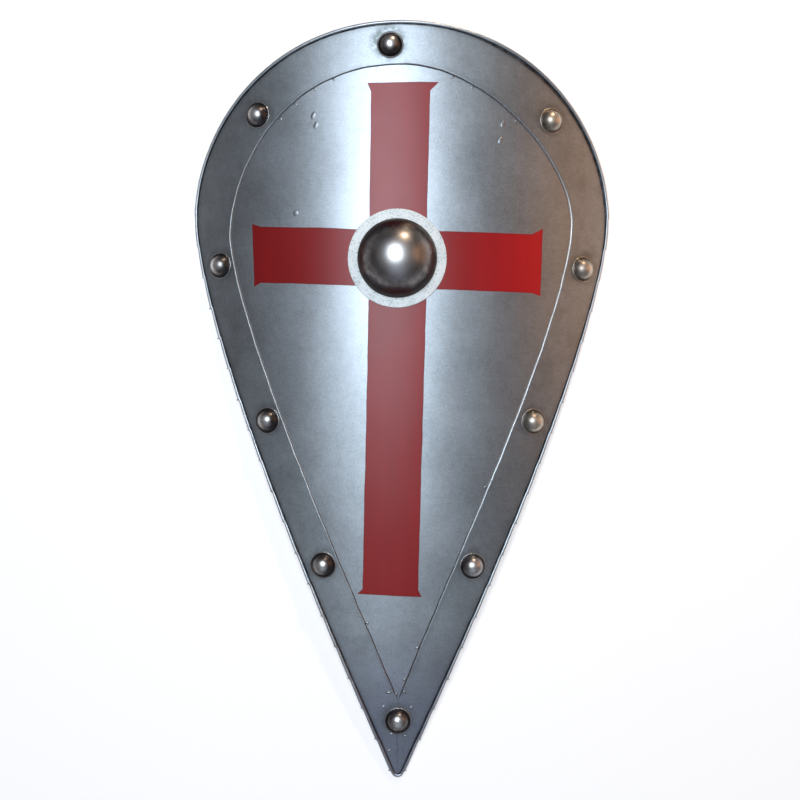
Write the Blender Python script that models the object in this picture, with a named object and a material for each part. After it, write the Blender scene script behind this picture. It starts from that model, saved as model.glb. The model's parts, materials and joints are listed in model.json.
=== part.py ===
"""Kite shield of sheet steel, lying face up as it rests: on both side edges and its point.

The plate, the border band and the boss ring are drawn on the flat blank, in metres, with
u across and v along from the boss up to the crown. They are then bent to one radius, as
sheet is. Everything hangs under one empty, which tips the shield into its rest pose.
"""

import math

import bmesh
import bpy
from mathutils import Matrix, Vector

# Sheets and the bend
BEND_RADIUS = 0.450
PLATE_THICKNESS = 0.0012
BAND_THICKNESS = 0.0016
RING_THICKNESS = 0.0016
SEAT_GAP = 0.0003
BEND_PITCH = 0.020

# Outline of the blank, as one half and its mirror
CROWN_TOP = 0.272
TIP_END = -0.593
HALF_WIDTH = 0.262
WIDEST_AT = 0.055
CROWN_REACH = 0.163
SHOULDER_REACH = 0.095
FLANK_REACH = 0.0755
POINT_REACH = 0.400
POINT_HALF_ANGLE = math.radians(25.0)
TIP_RADIUS = 0.0085
OUTLINE_STEPS = 18
TIP_STEPS = 3

# Rolled edge round the plate
ROLL_RADIUS = 0.0022
ROLL_STEPS = 6

# Border band, whose inner line was laid out by hand and differs a little from side to side
BAND_TO_ROLL = 0.0012
BAND_BEVEL = 0.0012
BAND_STEP = 0.0004
BAND_SEAM = 0.0004
BAND_AT_CROWN = 0.051
BAND_AT_POINT = 0.0885
LINE_RIGHT = {
    "half_width": HALF_WIDTH - 0.056,
    "widest_at": 0.048,
    "crown_reach": 0.095,
    "shoulder_reach": 0.068,
    "flank_reach": 0.099,
    "point_reach": 0.167,
    "half_angle": math.radians(20.0),
}
LINE_LEFT = {
    "half_width": HALF_WIDTH - 0.054,
    "widest_at": 0.032,
    "crown_reach": 0.145,
    "shoulder_reach": 0.067,
    "flank_reach": 0.079,
    "point_reach": 0.168,
    "half_angle": math.radians(22.9),
}

# Boss and the ring that it sits on
BOSS_AT = (-0.005, 0.0)
BOSS_RADIUS = 0.0455
BOSS_HEIGHT = 0.038
BOSS_WALL = 0.0012
BOSS_SEGMENTS = 28
BOSS_RINGS = 6
RING_RADIUS = 0.0566
RING_BORE = 0.038
RING_SEGMENTS = 36

# Studs, from the crown down, set by eye on each side: the share of the way across the band
# from the inner line, and the place along the shield
TOP_STUD = (-0.0148, CROWN_TOP - 0.0288)
POINT_STUD = (0.0, TIP_END + 0.065)
LEFT_STUDS = ((0.439, 0.1685), (0.420, -0.005), (0.418, -0.187), (0.448, -0.352))
RIGHT_STUDS = ((0.460, 0.1650), (0.432, -0.006), (0.416, -0.186), (0.390, -0.352))
STUD_RADIUS = 0.0152
STUD_BRIM = 0.0012
DOME_RADIUS = 0.0135
DOME_HEIGHT = 0.0105
SHANK_RADIUS = 0.003
CLENCH_RADIUS = 0.006
CLENCH_THICKNESS = 0.0015
STUD_SEGMENTS = 12
DOME_RINGS = 4
HOLE_SEGMENTS = 12
CUTTER_OVERLAP = 0.01

# Arm strap and hand strap on the back, each between two pads welded to the plate
STRAP_SIDE = 0.111
STRAP_TOP_PAD = 0.156
STRAP_BOTTOM_PAD = 0.053
STRAP_WIDTH = 0.026
STRAP_THICKNESS = 0.003
STRAP_FOOT = 0.013
STRAP_RAMP = 0.020
STRAP_STEPS = 8
ARM_STRAP_DEPTH = 0.050
HAND_STRAP_DEPTH = 0.040
PAD_WIDTH = 0.034
PAD_LENGTH = 0.026
PAD_THICKNESS = 0.0015
PAD_BEVEL = 0.0004
RIVET_RADIUS = 0.0025
RIVET_HEAD_RADIUS = 0.0055
RIVET_HEAD_HEIGHT = 0.0022
RIVET_SEGMENTS = 12
RIVET_RINGS = 3

SMOOTH_ANGLE = math.radians(35.0)


# Scene, materials and mesh helpers

def clear_scene():
    for item in list(bpy.data.objects):
        bpy.data.objects.remove(item, do_unlink=True)


def make_material(name, colour, roughness, metallic):
    material = bpy.data.materials.new(name)
    material.use_nodes = True
    shader = material.node_tree.nodes["Principled BSDF"]
    shader.inputs["Base Color"].default_value = (*colour, 1.0)
    shader.inputs["Roughness"].default_value = roughness
    shader.inputs["Metallic"].default_value = metallic
    return material


def add_object(name, mesh_data, material, parent):
    """Turns a bmesh into a named object with outward faces and smooth round sides."""
    bmesh.ops.recalc_face_normals(mesh_data, faces=mesh_data.faces)
    mesh = bpy.data.meshes.new(name)
    mesh_data.to_mesh(mesh)
    mesh_data.free()
    mesh.polygons.foreach_set("use_smooth", [True] * len(mesh.polygons))
    mesh.set_sharp_from_angle(angle=SMOOTH_ANGLE)
    mesh.materials.append(material)
    item = bpy.data.objects.new(name, mesh)
    item.parent = parent
    bpy.context.scene.collection.objects.link(item)
    return item


def add_empty(name, matrix):
    empty = bpy.data.objects.new(name, None)
    empty.matrix_basis = matrix
    bpy.context.scene.collection.objects.link(empty)
    return empty


def cut_with(item, cutter):
    cut = item.modifiers.new("holes", "BOOLEAN")
    cut.operation = "DIFFERENCE"
    cut.object = cutter


def loft(loops, closed_loops, wrap=False, caps=False):
    """Joins point loops of equal length with quads into one bmesh."""
    mesh_data = bmesh.new()
    rows = [[mesh_data.verts.new(point) for point in loop] for loop in loops]
    count = len(rows[0])
    pairs = list(zip(rows, rows[1:]))
    if wrap:
        pairs.append((rows[-1], rows[0]))
    for low, high in pairs:
        for i in range(count if closed_loops else count - 1):
            j = (i + 1) % count
            mesh_data.faces.new((low[i], low[j], high[j], high[i]))
    if caps:
        mesh_data.faces.new(rows[0])
        mesh_data.faces.new(rows[-1])
    return mesh_data


def lathe(profile, segments):
    """Spins (radius, height) points about Z and closes the ends on the axis."""
    mesh_data = bmesh.new()
    points = [mesh_data.verts.new((radius, 0.0, height)) for radius, height in profile]
    edges = [mesh_data.edges.new(pair) for pair in zip(points, points[1:])]
    bmesh.ops.spin(
        mesh_data,
        geom=points + edges,
        cent=(0.0, 0.0, 0.0),
        axis=(0.0, 0.0, 1.0),
        angle=math.tau,
        steps=segments,
        use_merge=True,
    )
    bmesh.ops.remove_doubles(mesh_data, verts=mesh_data.verts, dist=1e-6)
    return mesh_data


def dome_profile(base_radius, height, rings, lift=0.0):
    """Points of a spherical cap, from its top down to its base circle."""
    sphere = (base_radius ** 2 + height ** 2) / (2.0 * height)
    spread = math.asin(min(1.0, base_radius / sphere))
    angles = [spread * step / rings for step in range(rings + 1)]
    return [(sphere * math.sin(a), sphere * math.cos(a) - sphere + height + lift) for a in angles]


# Flat drawing and bending

def bezier(start, start_handle, end_handle, end, steps):
    points = []
    for step in range(steps + 1):
        t = step / steps
        s = 1.0 - t
        points.append(s**3 * start + 3*s*s*t * start_handle + 3*s*t*t * end_handle + t**3 * end)
    return points


def half_curve(top, end, half_width, widest_at, crown_reach, shoulder_reach,
               flank_reach, point_reach, half_angle):
    """One half of a kite line: over the crown to the widest place, then down the flank."""
    crown = Vector((0.0, top))
    widest = Vector((half_width, widest_at))
    along_side = Vector((math.sin(half_angle), math.cos(half_angle)))
    over = bezier(crown, crown + Vector((crown_reach, 0.0)),
                  widest + Vector((0.0, shoulder_reach)), widest, OUTLINE_STEPS)
    down = bezier(widest, widest - Vector((0.0, flank_reach)),
                  end + along_side * point_reach, end, OUTLINE_STEPS)
    return over + down[1:]


def outline_half():
    """Right half of the plate's edge, from the crown down to the rounded tip."""
    centre = Vector((0.0, TIP_END + TIP_RADIUS))
    start = 0.5 * math.pi - POINT_HALF_ANGLE
    angles = [start * (1.0 - step / TIP_STEPS) for step in range(TIP_STEPS + 1)]
    arc = [centre + TIP_RADIUS * Vector((math.sin(a), -math.cos(a))) for a in angles]
    side = half_curve(CROWN_TOP, arc[0], HALF_WIDTH, WIDEST_AT, CROWN_REACH,
                      SHOULDER_REACH, FLANK_REACH, POINT_REACH, POINT_HALF_ANGLE)
    return side + arc[1:]


def mirrored(points):
    return [Vector((-point.x, point.y)) for point in points]


def inset(points, distance, closed=True):
    """Moves each point of a clockwise line inward, square to the line."""
    moved = []
    last = len(points) - 1
    for i, point in enumerate(points):
        before = points[i - 1] if closed or i > 0 else point
        after = points[(i + 1) % len(points)] if closed or i < last else point
        along = (after - before).normalized()
        moved.append(point + distance * Vector((along.y, -along.x)))
    return moved


def bent(u, v, height):
    """Where a point of the flat blank lands, at a height above the plate's front."""
    angle = u / BEND_RADIUS
    radius = BEND_RADIUS + height
    return Vector((radius * math.sin(angle), v, radius * math.cos(angle) - BEND_RADIUS))


def bend_mesh(mesh_data):
    """Creases a flat sheet at an even pitch across, then bends it."""
    reach = max(abs(vert.co.x) for vert in mesh_data.verts)
    creases = int(reach / BEND_PITCH)
    for crease in range(-creases, creases + 1):
        bmesh.ops.bisect_plane(
            mesh_data,
            geom=mesh_data.verts[:] + mesh_data.edges[:] + mesh_data.faces[:],
            dist=1e-6,
            plane_co=(crease * BEND_PITCH, 0.0, 0.0),
            plane_no=(1.0, 0.0, 0.0),
        )
    for vert in mesh_data.verts:
        vert.co = bent(*vert.co)
    return mesh_data


def seat(u, v, height):
    """Frame standing square on the bent sheet, with Z outward from its front."""
    return Matrix.Translation(bent(u, v, height)) @ Matrix.Rotation(u / BEND_RADIUS, 4, "Y")


def with_height(points, height):
    return [(point.x, point.y, height) for point in points]


# Sheet pieces

def plate_edge():
    """Whole edge of the plate, clockwise from the crown as seen from the front."""
    right = outline_half()
    return right + mirrored(right)[-2:0:-1]


def plate_loops():
    """Loops of the plate from its back, round the rolled edge, to its front."""
    edge = plate_edge()
    centre_height = ROLL_RADIUS - PLATE_THICKNESS
    front_angle = math.asin(-centre_height / ROLL_RADIUS)
    start = -0.5 * math.pi
    sweep = math.tau - (front_angle - start)
    loops = []
    for step in range(ROLL_STEPS + 1):
        angle = start - sweep * step / ROLL_STEPS
        depth = ROLL_RADIUS * (1.0 + math.cos(angle))
        loops.append(with_height(inset(edge, depth), centre_height + ROLL_RADIUS * math.sin(angle)))
    return loops


def make_face_plate(material, parent):
    mesh_data = bend_mesh(loft(plate_loops(), closed_loops=True, caps=True))
    return add_object("face_plate", mesh_data, material, parent)


def inner_line(line):
    """One half of the band's inner line, from the crown to the point of its V."""
    end = Vector((0.0, TIP_END + BAND_AT_POINT))
    return half_curve(CROWN_TOP - BAND_AT_CROWN, end, **line)


def band_half(line, side_edge):
    """Outer and inner points of the band on the right, from the crown to the seam."""
    inner = inner_line(line)
    extra = [inner[-1]] * (len(side_edge) - len(inner))
    inner = inner + extra
    shoulder = inset(inner[:len(inner) - len(extra)], -BAND_BEVEL, closed=False)
    shoulder = shoulder + [shoulder[-1]] * len(extra)
    shoulder[0].x = 0.0
    keep = 0.5 * BAND_SEAM
    for points in (side_edge, inner, shoulder):
        for point in points[1:]:
            point.x = max(point.x, keep)
    return side_edge, inner, shoulder


def make_border_band(material, parent):
    edge = plate_edge()
    half = len(outline_half())
    outer_edge = inset(edge, 2.0 * ROLL_RADIUS + BAND_TO_ROLL)[:half]
    right = band_half(LINE_RIGHT, [point.copy() for point in outer_edge])
    left = band_half(LINE_LEFT, [point.copy() for point in outer_edge])
    outer, inner, shoulder = (
        mirrored(left_line)[::-1] + right_line[1:] for left_line, right_line in zip(left, right)
    )
    low = SEAT_GAP
    high = SEAT_GAP + BAND_THICKNESS
    loops = [
        with_height(outer, low),
        with_height(outer, high),
        with_height(shoulder, high),
        with_height(inner, low + BAND_STEP),
        with_height(inner, low),
    ]
    mesh_data = loft(loops, closed_loops=False, wrap=True)
    bmesh.ops.remove_doubles(mesh_data, verts=mesh_data.verts, dist=1e-7)
    ends = [edge_ for edge_ in mesh_data.edges if edge_.is_boundary]
    bmesh.ops.holes_fill(mesh_data, edges=ends, sides=0)
    return add_object("border_band", bend_mesh(mesh_data), material, parent)


def make_boss_ring(material, parent):
    def circle(radius, height):
        turns = [math.tau * step / RING_SEGMENTS for step in range(RING_SEGMENTS)]
        return [(BOSS_AT[0] + radius * math.sin(a), BOSS_AT[1] + radius * math.cos(a), height)
                for a in turns]

    low = SEAT_GAP
    high = SEAT_GAP + RING_THICKNESS
    loops = [circle(RING_RADIUS, low), circle(RING_RADIUS, high),
             circle(RING_BORE, high), circle(RING_BORE, low)]
    mesh_data = bend_mesh(loft(loops, closed_loops=True, wrap=True))
    return add_object("boss_ring", mesh_data, material, parent)


# Boss and studs

def make_boss(material, parent):
    """Hollow dome whose rim is cut to the bend that it sits on."""
    base = 2.0 * SEAT_GAP + RING_THICKNESS
    outer = dome_profile(BOSS_RADIUS, BOSS_HEIGHT, BOSS_RINGS)
    inner = dome_profile(BOSS_RADIUS - BOSS_WALL, BOSS_HEIGHT - BOSS_WALL, BOSS_RINGS)
    rim_drop = -2.0 * BOSS_WALL
    rim = [(BOSS_RADIUS, rim_drop), (BOSS_RADIUS - BOSS_WALL, rim_drop)]
    mesh_data = lathe(outer + rim + inner[::-1], BOSS_SEGMENTS)
    seat_radius = BEND_RADIUS + base
    for vert in mesh_data.verts:
        if vert.co.z < 0.5 * rim_drop:
            vert.co.z = math.sqrt(seat_radius ** 2 - vert.co.x ** 2) - seat_radius
    boss = add_object("boss", mesh_data, material, parent)
    boss.matrix_basis = seat(*BOSS_AT, base)


def across(points, v):
    """How far out a line runs at a place along the shield."""
    for low, high in zip(points[1:], points):
        if low.y <= v < high.y:
            return low.x + (high.x - low.x) * (v - low.y) / (high.y - low.y)
    raise ValueError(f"the line doesn't pass {v} m")


def stud_places():
    """Stud centres on the blank, from the crown down, left before right in each pair."""
    edge = outline_half()
    lines = (inner_line(LINE_RIGHT), inner_line(LINE_LEFT))
    places = [TOP_STUD]
    for pair in zip(LEFT_STUDS, RIGHT_STUDS):
        for side, (share, v) in zip((-1.0, 1.0), pair):
            line_at = 0.5 * sum(across(line, v) for line in lines)
            places.append((side * (line_at + share * (across(edge, v) - line_at)), v))
    return places + [POINT_STUD]


def stud_grip():
    """Length of shank between the brim and the clenched end behind the plate."""
    return 3.0 * SEAT_GAP + BAND_THICKNESS + PLATE_THICKNESS


def make_studs(material, parent):
    grip = stud_grip()
    profile = dome_profile(DOME_RADIUS, DOME_HEIGHT, DOME_RINGS, lift=STUD_BRIM) + [
        (STUD_RADIUS, 0.5 * STUD_BRIM),
        (STUD_RADIUS, 0.0),
        (SHANK_RADIUS, 0.0),
        (SHANK_RADIUS, -grip),
        (CLENCH_RADIUS, -grip),
        (CLENCH_RADIUS, -grip - CLENCH_THICKNESS),
        (0.0, -grip - CLENCH_THICKNESS),
    ]
    height = 2.0 * SEAT_GAP + BAND_THICKNESS
    for number, (u, v) in enumerate(stud_places(), start=1):
        stud = add_object(f"stud_{number:02d}", lathe(profile, STUD_SEGMENTS), material, parent)
        stud.matrix_basis = seat(u, v, height)


def make_hole_cutter(name, places, radius, low, high, parent):
    """One guide with a round bar at each place, in frames that stand on the sheet."""
    mesh_data = bmesh.new()
    for frame in places:
        middle = Matrix.Translation((0.0, 0.0, 0.5 * (low + high)))
        bmesh.ops.create_cone(
            mesh_data,
            cap_ends=True,
            segments=HOLE_SEGMENTS,
            radius1=radius,
            radius2=radius,
            depth=high - low,
            matrix=frame @ middle,
        )
    mesh = bpy.data.meshes.new(name)
    mesh_data.to_mesh(mesh)
    mesh_data.free()
    cutter = bpy.data.objects.new(name, mesh)
    cutter.parent = parent
    cutter.hide_render = True
    cutter.display_type = "WIRE"
    bpy.context.scene.collection.objects.link(cutter)
    return cutter


# Straps on the back

def pad_clearance():
    """Drop of a flat pad below the curved back, so that its edges keep the seat gap."""
    back_radius = BEND_RADIUS - PLATE_THICKNESS
    half = 0.5 * PAD_WIDTH
    return PLATE_THICKNESS + SEAT_GAP + back_radius - math.sqrt(back_radius ** 2 - half ** 2)


def make_pad(name, frame, material, parent):
    mesh_data = bmesh.new()
    bmesh.ops.create_cube(mesh_data, size=1.0)
    bmesh.ops.scale(mesh_data, vec=(PAD_WIDTH, PAD_LENGTH, PAD_THICKNESS), verts=mesh_data.verts)
    bmesh.ops.bevel(
        mesh_data,
        geom=mesh_data.edges[:],
        offset=PAD_BEVEL,
        segments=1,
        affect="EDGES",
    )
    pad = add_object(name, mesh_data, material, parent)
    middle = -pad_clearance() - 0.5 * PAD_THICKNESS
    pad.matrix_basis = frame @ Matrix.Translation((0.0, 0.0, middle))
    return pad


def strap_path(span, depth):
    """Middle line of a strap in its own Y and Z, flat on both pads and hanging between."""
    half = 0.5 * span
    ramp_start = half - STRAP_FOOT
    side = [Vector((half + STRAP_FOOT, 0.0))]
    for step in range(STRAP_STEPS + 1):
        t = step / STRAP_STEPS
        drop = depth * t * t * (3.0 - 2.0 * t)
        side.append(Vector((ramp_start - STRAP_RAMP * t, -drop)))
    return [Vector((-point.x, point.y)) for point in side] + side[::-1]


def make_strap(name, frame, depth, material, parent):
    span = STRAP_TOP_PAD - STRAP_BOTTOM_PAD
    path = strap_path(span, depth)
    upper = inset(path, -0.5 * STRAP_THICKNESS, closed=False)
    lower = inset(path, 0.5 * STRAP_THICKNESS, closed=False)
    half = 0.5 * STRAP_WIDTH
    corners = [(upper, half), (upper, -half), (lower, -half), (lower, half)]
    loops = [[(x, point.x, point.y) for point in line] for line, x in corners]
    mesh_data = loft(loops, closed_loops=False, wrap=True)
    ends = [edge for edge in mesh_data.edges if edge.is_boundary]
    bmesh.ops.holes_fill(mesh_data, edges=ends, sides=0)
    strap = add_object(name, mesh_data, material, parent)
    top_face = -pad_clearance() - PAD_THICKNESS - SEAT_GAP
    strap.matrix_basis = frame @ Matrix.Translation((0.0, 0.0, top_face - 0.5 * STRAP_THICKNESS))
    return strap


def make_rivet(name, frame, material, parent):
    """Rivet through a strap's end and its pad, flush with the pad's far face."""
    dome = dome_profile(RIVET_HEAD_RADIUS, RIVET_HEAD_HEIGHT, RIVET_RINGS)
    length = PAD_THICKNESS + 2.0 * SEAT_GAP + STRAP_THICKNESS
    profile = [(0.0, length), (RIVET_RADIUS, length), (RIVET_RADIUS, 0.0)]
    profile += [(radius, -height) for radius, height in dome[::-1]]
    rivet = add_object(name, lathe(profile, RIVET_SEGMENTS), material, parent)
    rivet.matrix_basis = frame @ Matrix.Translation((0.0, 0.0, -pad_clearance() - length))
    return rivet


def make_strap_set(name, side, depth, steel, leather, rivet_steel, parent):
    middle = 0.5 * (STRAP_TOP_PAD + STRAP_BOTTOM_PAD)
    strap = make_strap(name, seat(side, middle, 0.0), depth, leather, parent)
    frames = {
        "top": seat(side, STRAP_TOP_PAD, 0.0),
        "bottom": seat(side, STRAP_BOTTOM_PAD, 0.0),
    }
    reach = PAD_THICKNESS + STRAP_THICKNESS + CUTTER_OVERLAP
    cutter = make_hole_cutter(f"{name}_rivet_holes", frames.values(), RIVET_RADIUS + SEAT_GAP,
                              -reach, 0.0, parent)
    cut_with(strap, cutter)
    for place, frame in frames.items():
        pad = make_pad(f"{name}_pad_{place}", frame, steel, parent)
        cut_with(pad, cutter)
        make_rivet(f"{name}_rivet_{place}", frame, rivet_steel, parent)


# Rest pose

def rest_matrix():
    """Tips the shield until its point and its side edges touch the ground together."""
    points = [bent(*point) for loop in plate_loops() for point in loop]
    middle = 0.5 * TIP_END
    tip = [point for point in points if point.y < middle]
    sides = [point for point in points if point.y >= middle]

    def lowest(group, angle):
        return min(point.y * math.sin(angle) + point.z * math.cos(angle) for point in group)

    low, high = 0.0, math.radians(30.0)
    for _ in range(50):
        angle = 0.5 * (low + high)
        if lowest(tip, angle) > lowest(sides, angle):
            low = angle
        else:
            high = angle
    turn = Matrix.Rotation(angle, 4, "X")
    turned = [turn @ point for point in points]
    shift_y = -0.5 * (min(p.y for p in turned) + max(p.y for p in turned))
    shift_z = -min(p.z for p in turned)
    return Matrix.Translation((0.0, shift_y, shift_z)) @ turn


def main():
    clear_scene()
    satin_steel = make_material("satin_steel", (0.45, 0.47, 0.50), 0.34, 1.0)
    band_steel = make_material("band_steel", (0.36, 0.38, 0.41), 0.36, 1.0)
    ring_steel = make_material("ring_steel", (0.74, 0.77, 0.79), 0.30, 1.0)
    dark_steel = make_material("dark_steel", (0.22, 0.20, 0.19), 0.24, 1.0)
    pad_steel = make_material("pad_steel", (0.30, 0.31, 0.33), 0.45, 1.0)
    leather = make_material("strap_leather", (0.10, 0.055, 0.03), 0.6, 0.0)
    rest = add_empty("shield_at_rest", rest_matrix())
    plate = make_face_plate(satin_steel, rest)
    band = make_border_band(band_steel, rest)
    make_boss_ring(ring_steel, rest)
    make_boss(dark_steel, rest)
    make_studs(dark_steel, rest)
    reach = stud_grip() + CUTTER_OVERLAP
    stud_frames = [seat(u, v, 0.0) for u, v in stud_places()]
    holes = make_hole_cutter("stud_holes", stud_frames, SHANK_RADIUS + SEAT_GAP, -reach, reach, rest)
    cut_with(plate, holes)
    cut_with(band, holes)
    make_strap_set("arm_strap", STRAP_SIDE, ARM_STRAP_DEPTH, pad_steel, leather, dark_steel, rest)
    make_strap_set("hand_strap", -STRAP_SIDE, HAND_STRAP_DEPTH, pad_steel, leather, dark_steel, rest)
    bpy.context.view_layer.update()


main()
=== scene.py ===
"""Looks of a kite shield of sheet steel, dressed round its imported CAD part.

The sheets and all that sits on them are drawn on the flat blank, in metres, with u across
and v along from the boss up to the crown. One node group then bends the blank to its radius
and tips it into the rest pose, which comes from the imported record.
"""

import json
import math

import bmesh
import bpy
from mathutils import Matrix, Vector


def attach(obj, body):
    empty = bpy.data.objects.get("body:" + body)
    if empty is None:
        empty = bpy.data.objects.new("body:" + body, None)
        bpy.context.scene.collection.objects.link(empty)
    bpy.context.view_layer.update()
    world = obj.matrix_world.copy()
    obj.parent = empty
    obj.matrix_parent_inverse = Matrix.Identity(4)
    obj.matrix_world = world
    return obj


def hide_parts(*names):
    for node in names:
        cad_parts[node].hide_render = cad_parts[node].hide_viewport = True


bl_info = {
    "name": "Kite shield looks",
    "version": (1, 0, 0),
    "blender": (4, 5, 0),
    "location": "View3D > Sidebar > Shield",
    "description": "Builds the steel, paint, studs, welds and straps of a kite shield",
    "category": "Object",
}

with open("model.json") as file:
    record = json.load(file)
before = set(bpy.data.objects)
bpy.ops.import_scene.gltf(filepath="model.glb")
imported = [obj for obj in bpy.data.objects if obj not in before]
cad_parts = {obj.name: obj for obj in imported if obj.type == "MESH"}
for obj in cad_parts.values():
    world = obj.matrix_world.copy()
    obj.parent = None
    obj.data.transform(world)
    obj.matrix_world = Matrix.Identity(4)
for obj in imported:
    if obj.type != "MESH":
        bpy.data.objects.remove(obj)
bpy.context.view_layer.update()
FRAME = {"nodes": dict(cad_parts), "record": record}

# Sheets and the bend, as in the part
BEND_RADIUS = 0.450
PLATE_THICKNESS = 0.0012
BAND_THICKNESS = 0.0016
RING_THICKNESS = 0.0016
SEAT_GAP = 0.0003

# Outline of the blank
CROWN_TOP = 0.272
TIP_END = -0.593
HALF_WIDTH = 0.262
WIDEST_AT = 0.055
CROWN_REACH = 0.163
SHOULDER_REACH = 0.095
FLANK_REACH = 0.0755
POINT_REACH = 0.400
POINT_HALF_ANGLE = math.radians(25.0)
TIP_RADIUS = 0.0085
ROLL_RADIUS = 0.0022
FIRST_TAB_SHARE = 0.30

# Border band
BAND_TO_ROLL = 0.0012
BAND_SLOPE = 0.0012
BAND_SEAM = 0.0004
LINE_TOP = CROWN_TOP - 0.051
LINE_POINT = TIP_END + 0.0885
LINE_RIGHT = {
    "half_width": HALF_WIDTH - 0.056,
    "widest_at": 0.048,
    "crown_reach": 0.095,
    "shoulder_reach": 0.068,
    "flank_reach": 0.099,
    "point_reach": 0.167,
    "half_angle": math.radians(20.0),
}
LINE_LEFT = {
    "half_width": HALF_WIDTH - 0.054,
    "widest_at": 0.032,
    "crown_reach": 0.145,
    "shoulder_reach": 0.067,
    "flank_reach": 0.079,
    "point_reach": 0.168,
    "half_angle": math.radians(22.9),
}

# Boss, ring and studs
BOSS_AT = (-0.005, 0.0)
BOSS_RADIUS = 0.0455
BOSS_HEIGHT = 0.038
BOSS_WALL = 0.0012
RING_RADIUS = 0.0566
RING_BORE = 0.038
STUD_RADIUS = 0.0152
STUD_BRIM = 0.0012
DOME_RADIUS = 0.0135
DOME_HEIGHT = 0.0105
SHANK_RADIUS = 0.003
CLENCH_RADIUS = 0.006
CLENCH_THICKNESS = 0.0015
STUD_SEAT = SEAT_GAP * 2.0 + BAND_THICKNESS
STUD_GRIP = 3.0 * SEAT_GAP + BAND_THICKNESS + PLATE_THICKNESS
BOSS_SEAT = 2.0 * SEAT_GAP + RING_THICKNESS
# Top and lowest stud by their place on the blank, and the side studs by their share of the way
# across the band from the inner line and their place along the shield
TOP_STUD = (-0.0148, CROWN_TOP - 0.0288)
POINT_STUD = (0.0, TIP_END + 0.065)
LEFT_STUDS = ((0.439, 0.1685), (0.420, -0.005), (0.418, -0.187), (0.448, -0.352))
RIGHT_STUDS = ((0.460, 0.1650), (0.432, -0.006), (0.416, -0.186), (0.390, -0.352))

# Straps on the back
STRAP_SIDE = 0.111
STRAP_TOP_PAD = 0.156
STRAP_BOTTOM_PAD = 0.053
STRAP_WIDTH = 0.026
STRAP_THICKNESS = 0.003
STRAP_FOOT = 0.013
STRAP_RAMP = 0.020
STRAP_DEPTHS = {"arm_strap": 0.050, "hand_strap": 0.040}
STRAP_SIDES = {"arm_strap": STRAP_SIDE, "hand_strap": -STRAP_SIDE}
PAD_WIDTH = 0.034
PAD_LENGTH = 0.026
PAD_THICKNESS = 0.0015
RIVET_RADIUS = 0.0025
RIVET_HEAD_RADIUS = 0.0055
RIVET_HEAD_HEIGHT = 0.0022
RIVET_LENGTH = PAD_THICKNESS + 2.0 * SEAT_GAP + STRAP_THICKNESS

# The cross as it is painted: each arm's two sides run from beside the ring to a neck and then
# flare to a tip, as (distance from the boss, place across)
CROSS_ARMS = {
    "up": {
        "low": ((0.050, -0.0373), (0.190, -0.0364), (0.2005, -0.0409)),
        "high": ((0.050, 0.0286), (0.192, 0.0314), (0.2021, 0.0407)),
    },
    "down": {
        "low": ((0.050, -0.0373), (0.3784, -0.0417), (0.3840, -0.0479)),
        "high": ((0.050, 0.0286), (0.3789, 0.0218), (0.3871, 0.0262)),
    },
    "left": {
        "low": ((0.053, -0.0315), (0.1684, -0.0269), (0.1764, -0.0314)),
        "high": ((0.053, 0.0333), (0.1689, 0.0387), (0.1800, 0.0427)),
    },
    "right": {
        "low": ((0.041, -0.0352), (0.1551, -0.0367), (0.1661, -0.0398)),
        "high": ((0.041, 0.0314), (0.1546, 0.0319), (0.1685, 0.0389)),
    },
}

# Marks of welding that show on the front, on the blank. Dimples over the pads behind, as place,
# half length and half width
SHEET_DIMPLES = (
    (-0.1038, 0.1646, 0.0044, 0.0028),
    (-0.1006, 0.1535, 0.0046, 0.0030),
    (0.1172, 0.1570, 0.0042, 0.0029),
    (0.1146, 0.1378, 0.0044, 0.0030),
    (-0.1244, 0.0530, 0.0036, 0.0036),
)
# Tacks beside the inner line, as places along the shield
LEFT_TACKS = (0.2060, 0.1955, 0.1800, 0.1640, -0.4160)
RIGHT_TACKS = (0.2090, 0.1985, 0.1630, -0.2600, -0.4440, -0.4800)
# Blobs at the V of the inner line, as place and half length, and specks round the lowest stud
POINT_BLOBS = ((-0.0106, -0.4958, 0.0040), (-0.0022, -0.4975, 0.0021), (0.0068, -0.4950, 0.0024))
STUD_SPECKS = ((-0.0075, -0.5430), (0.0085, -0.5450), (-0.0100, -0.5620), (-0.0170, -0.5120),
               (0.0150, -0.5125))

# Colours of rubbed steel and of the painted shade
RUBBED_BRIGHT = (0.90, 0.89, 0.88)
PAINTED_SHADE = (0.055, 0.055, 0.06)

# Tints by place on the object, fitted to the photograph. They may stand in for its light.
POINT_TINT = (0.74, 0.72, 0.83)
# Painted warm light: the studs on the right are tinted straw where the warm lamp falls on them.
RIGHT_STUDS_PAINTED_WARM_LIGHT = (1.0, 0.80, 0.56)

# Soft lights in the shield's own frame: place, size, colour and the value that holds the power
LIGHTS_AIM = (0.0, -0.1, 0.0)
LIGHTS = {
    "main_light": ((-0.14, 0.13, 1.50), (0.84, 0.84), (0.80, 0.91, 1.0), "main_power"),
    "overhead_light": ((-0.30, 0.80, 2.40), (1.40, 1.40), (0.82, 0.89, 1.0), "overhead_power"),
    "warm_lamp": ((0.58, 1.80, 0.73), (0.12, 0.12), (1.0, 0.76, 0.53), "lamp_power"),
    "side_light": ((1.80, 0.32, 0.45), (1.50, 2.10), (1.0, 0.46, 0.18), "side_power"),
    "foot_light": ((0.0, -1.80, 1.60), (2.40, 2.40), (0.66, 0.80, 1.0), "foot_power"),
}

# Camera, from the fit of the outline to the photograph
CAMERA_DISTANCE = 1.5
IMAGE_WIDTH_ON_CREST = 0.91368
BOSS_ABOVE_CENTRE = 0.16195
SHIELD_LEAN = 0.00796
SHIELD_SHIFT = 0.00179
SENSOR_WIDTH = 36.0

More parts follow.
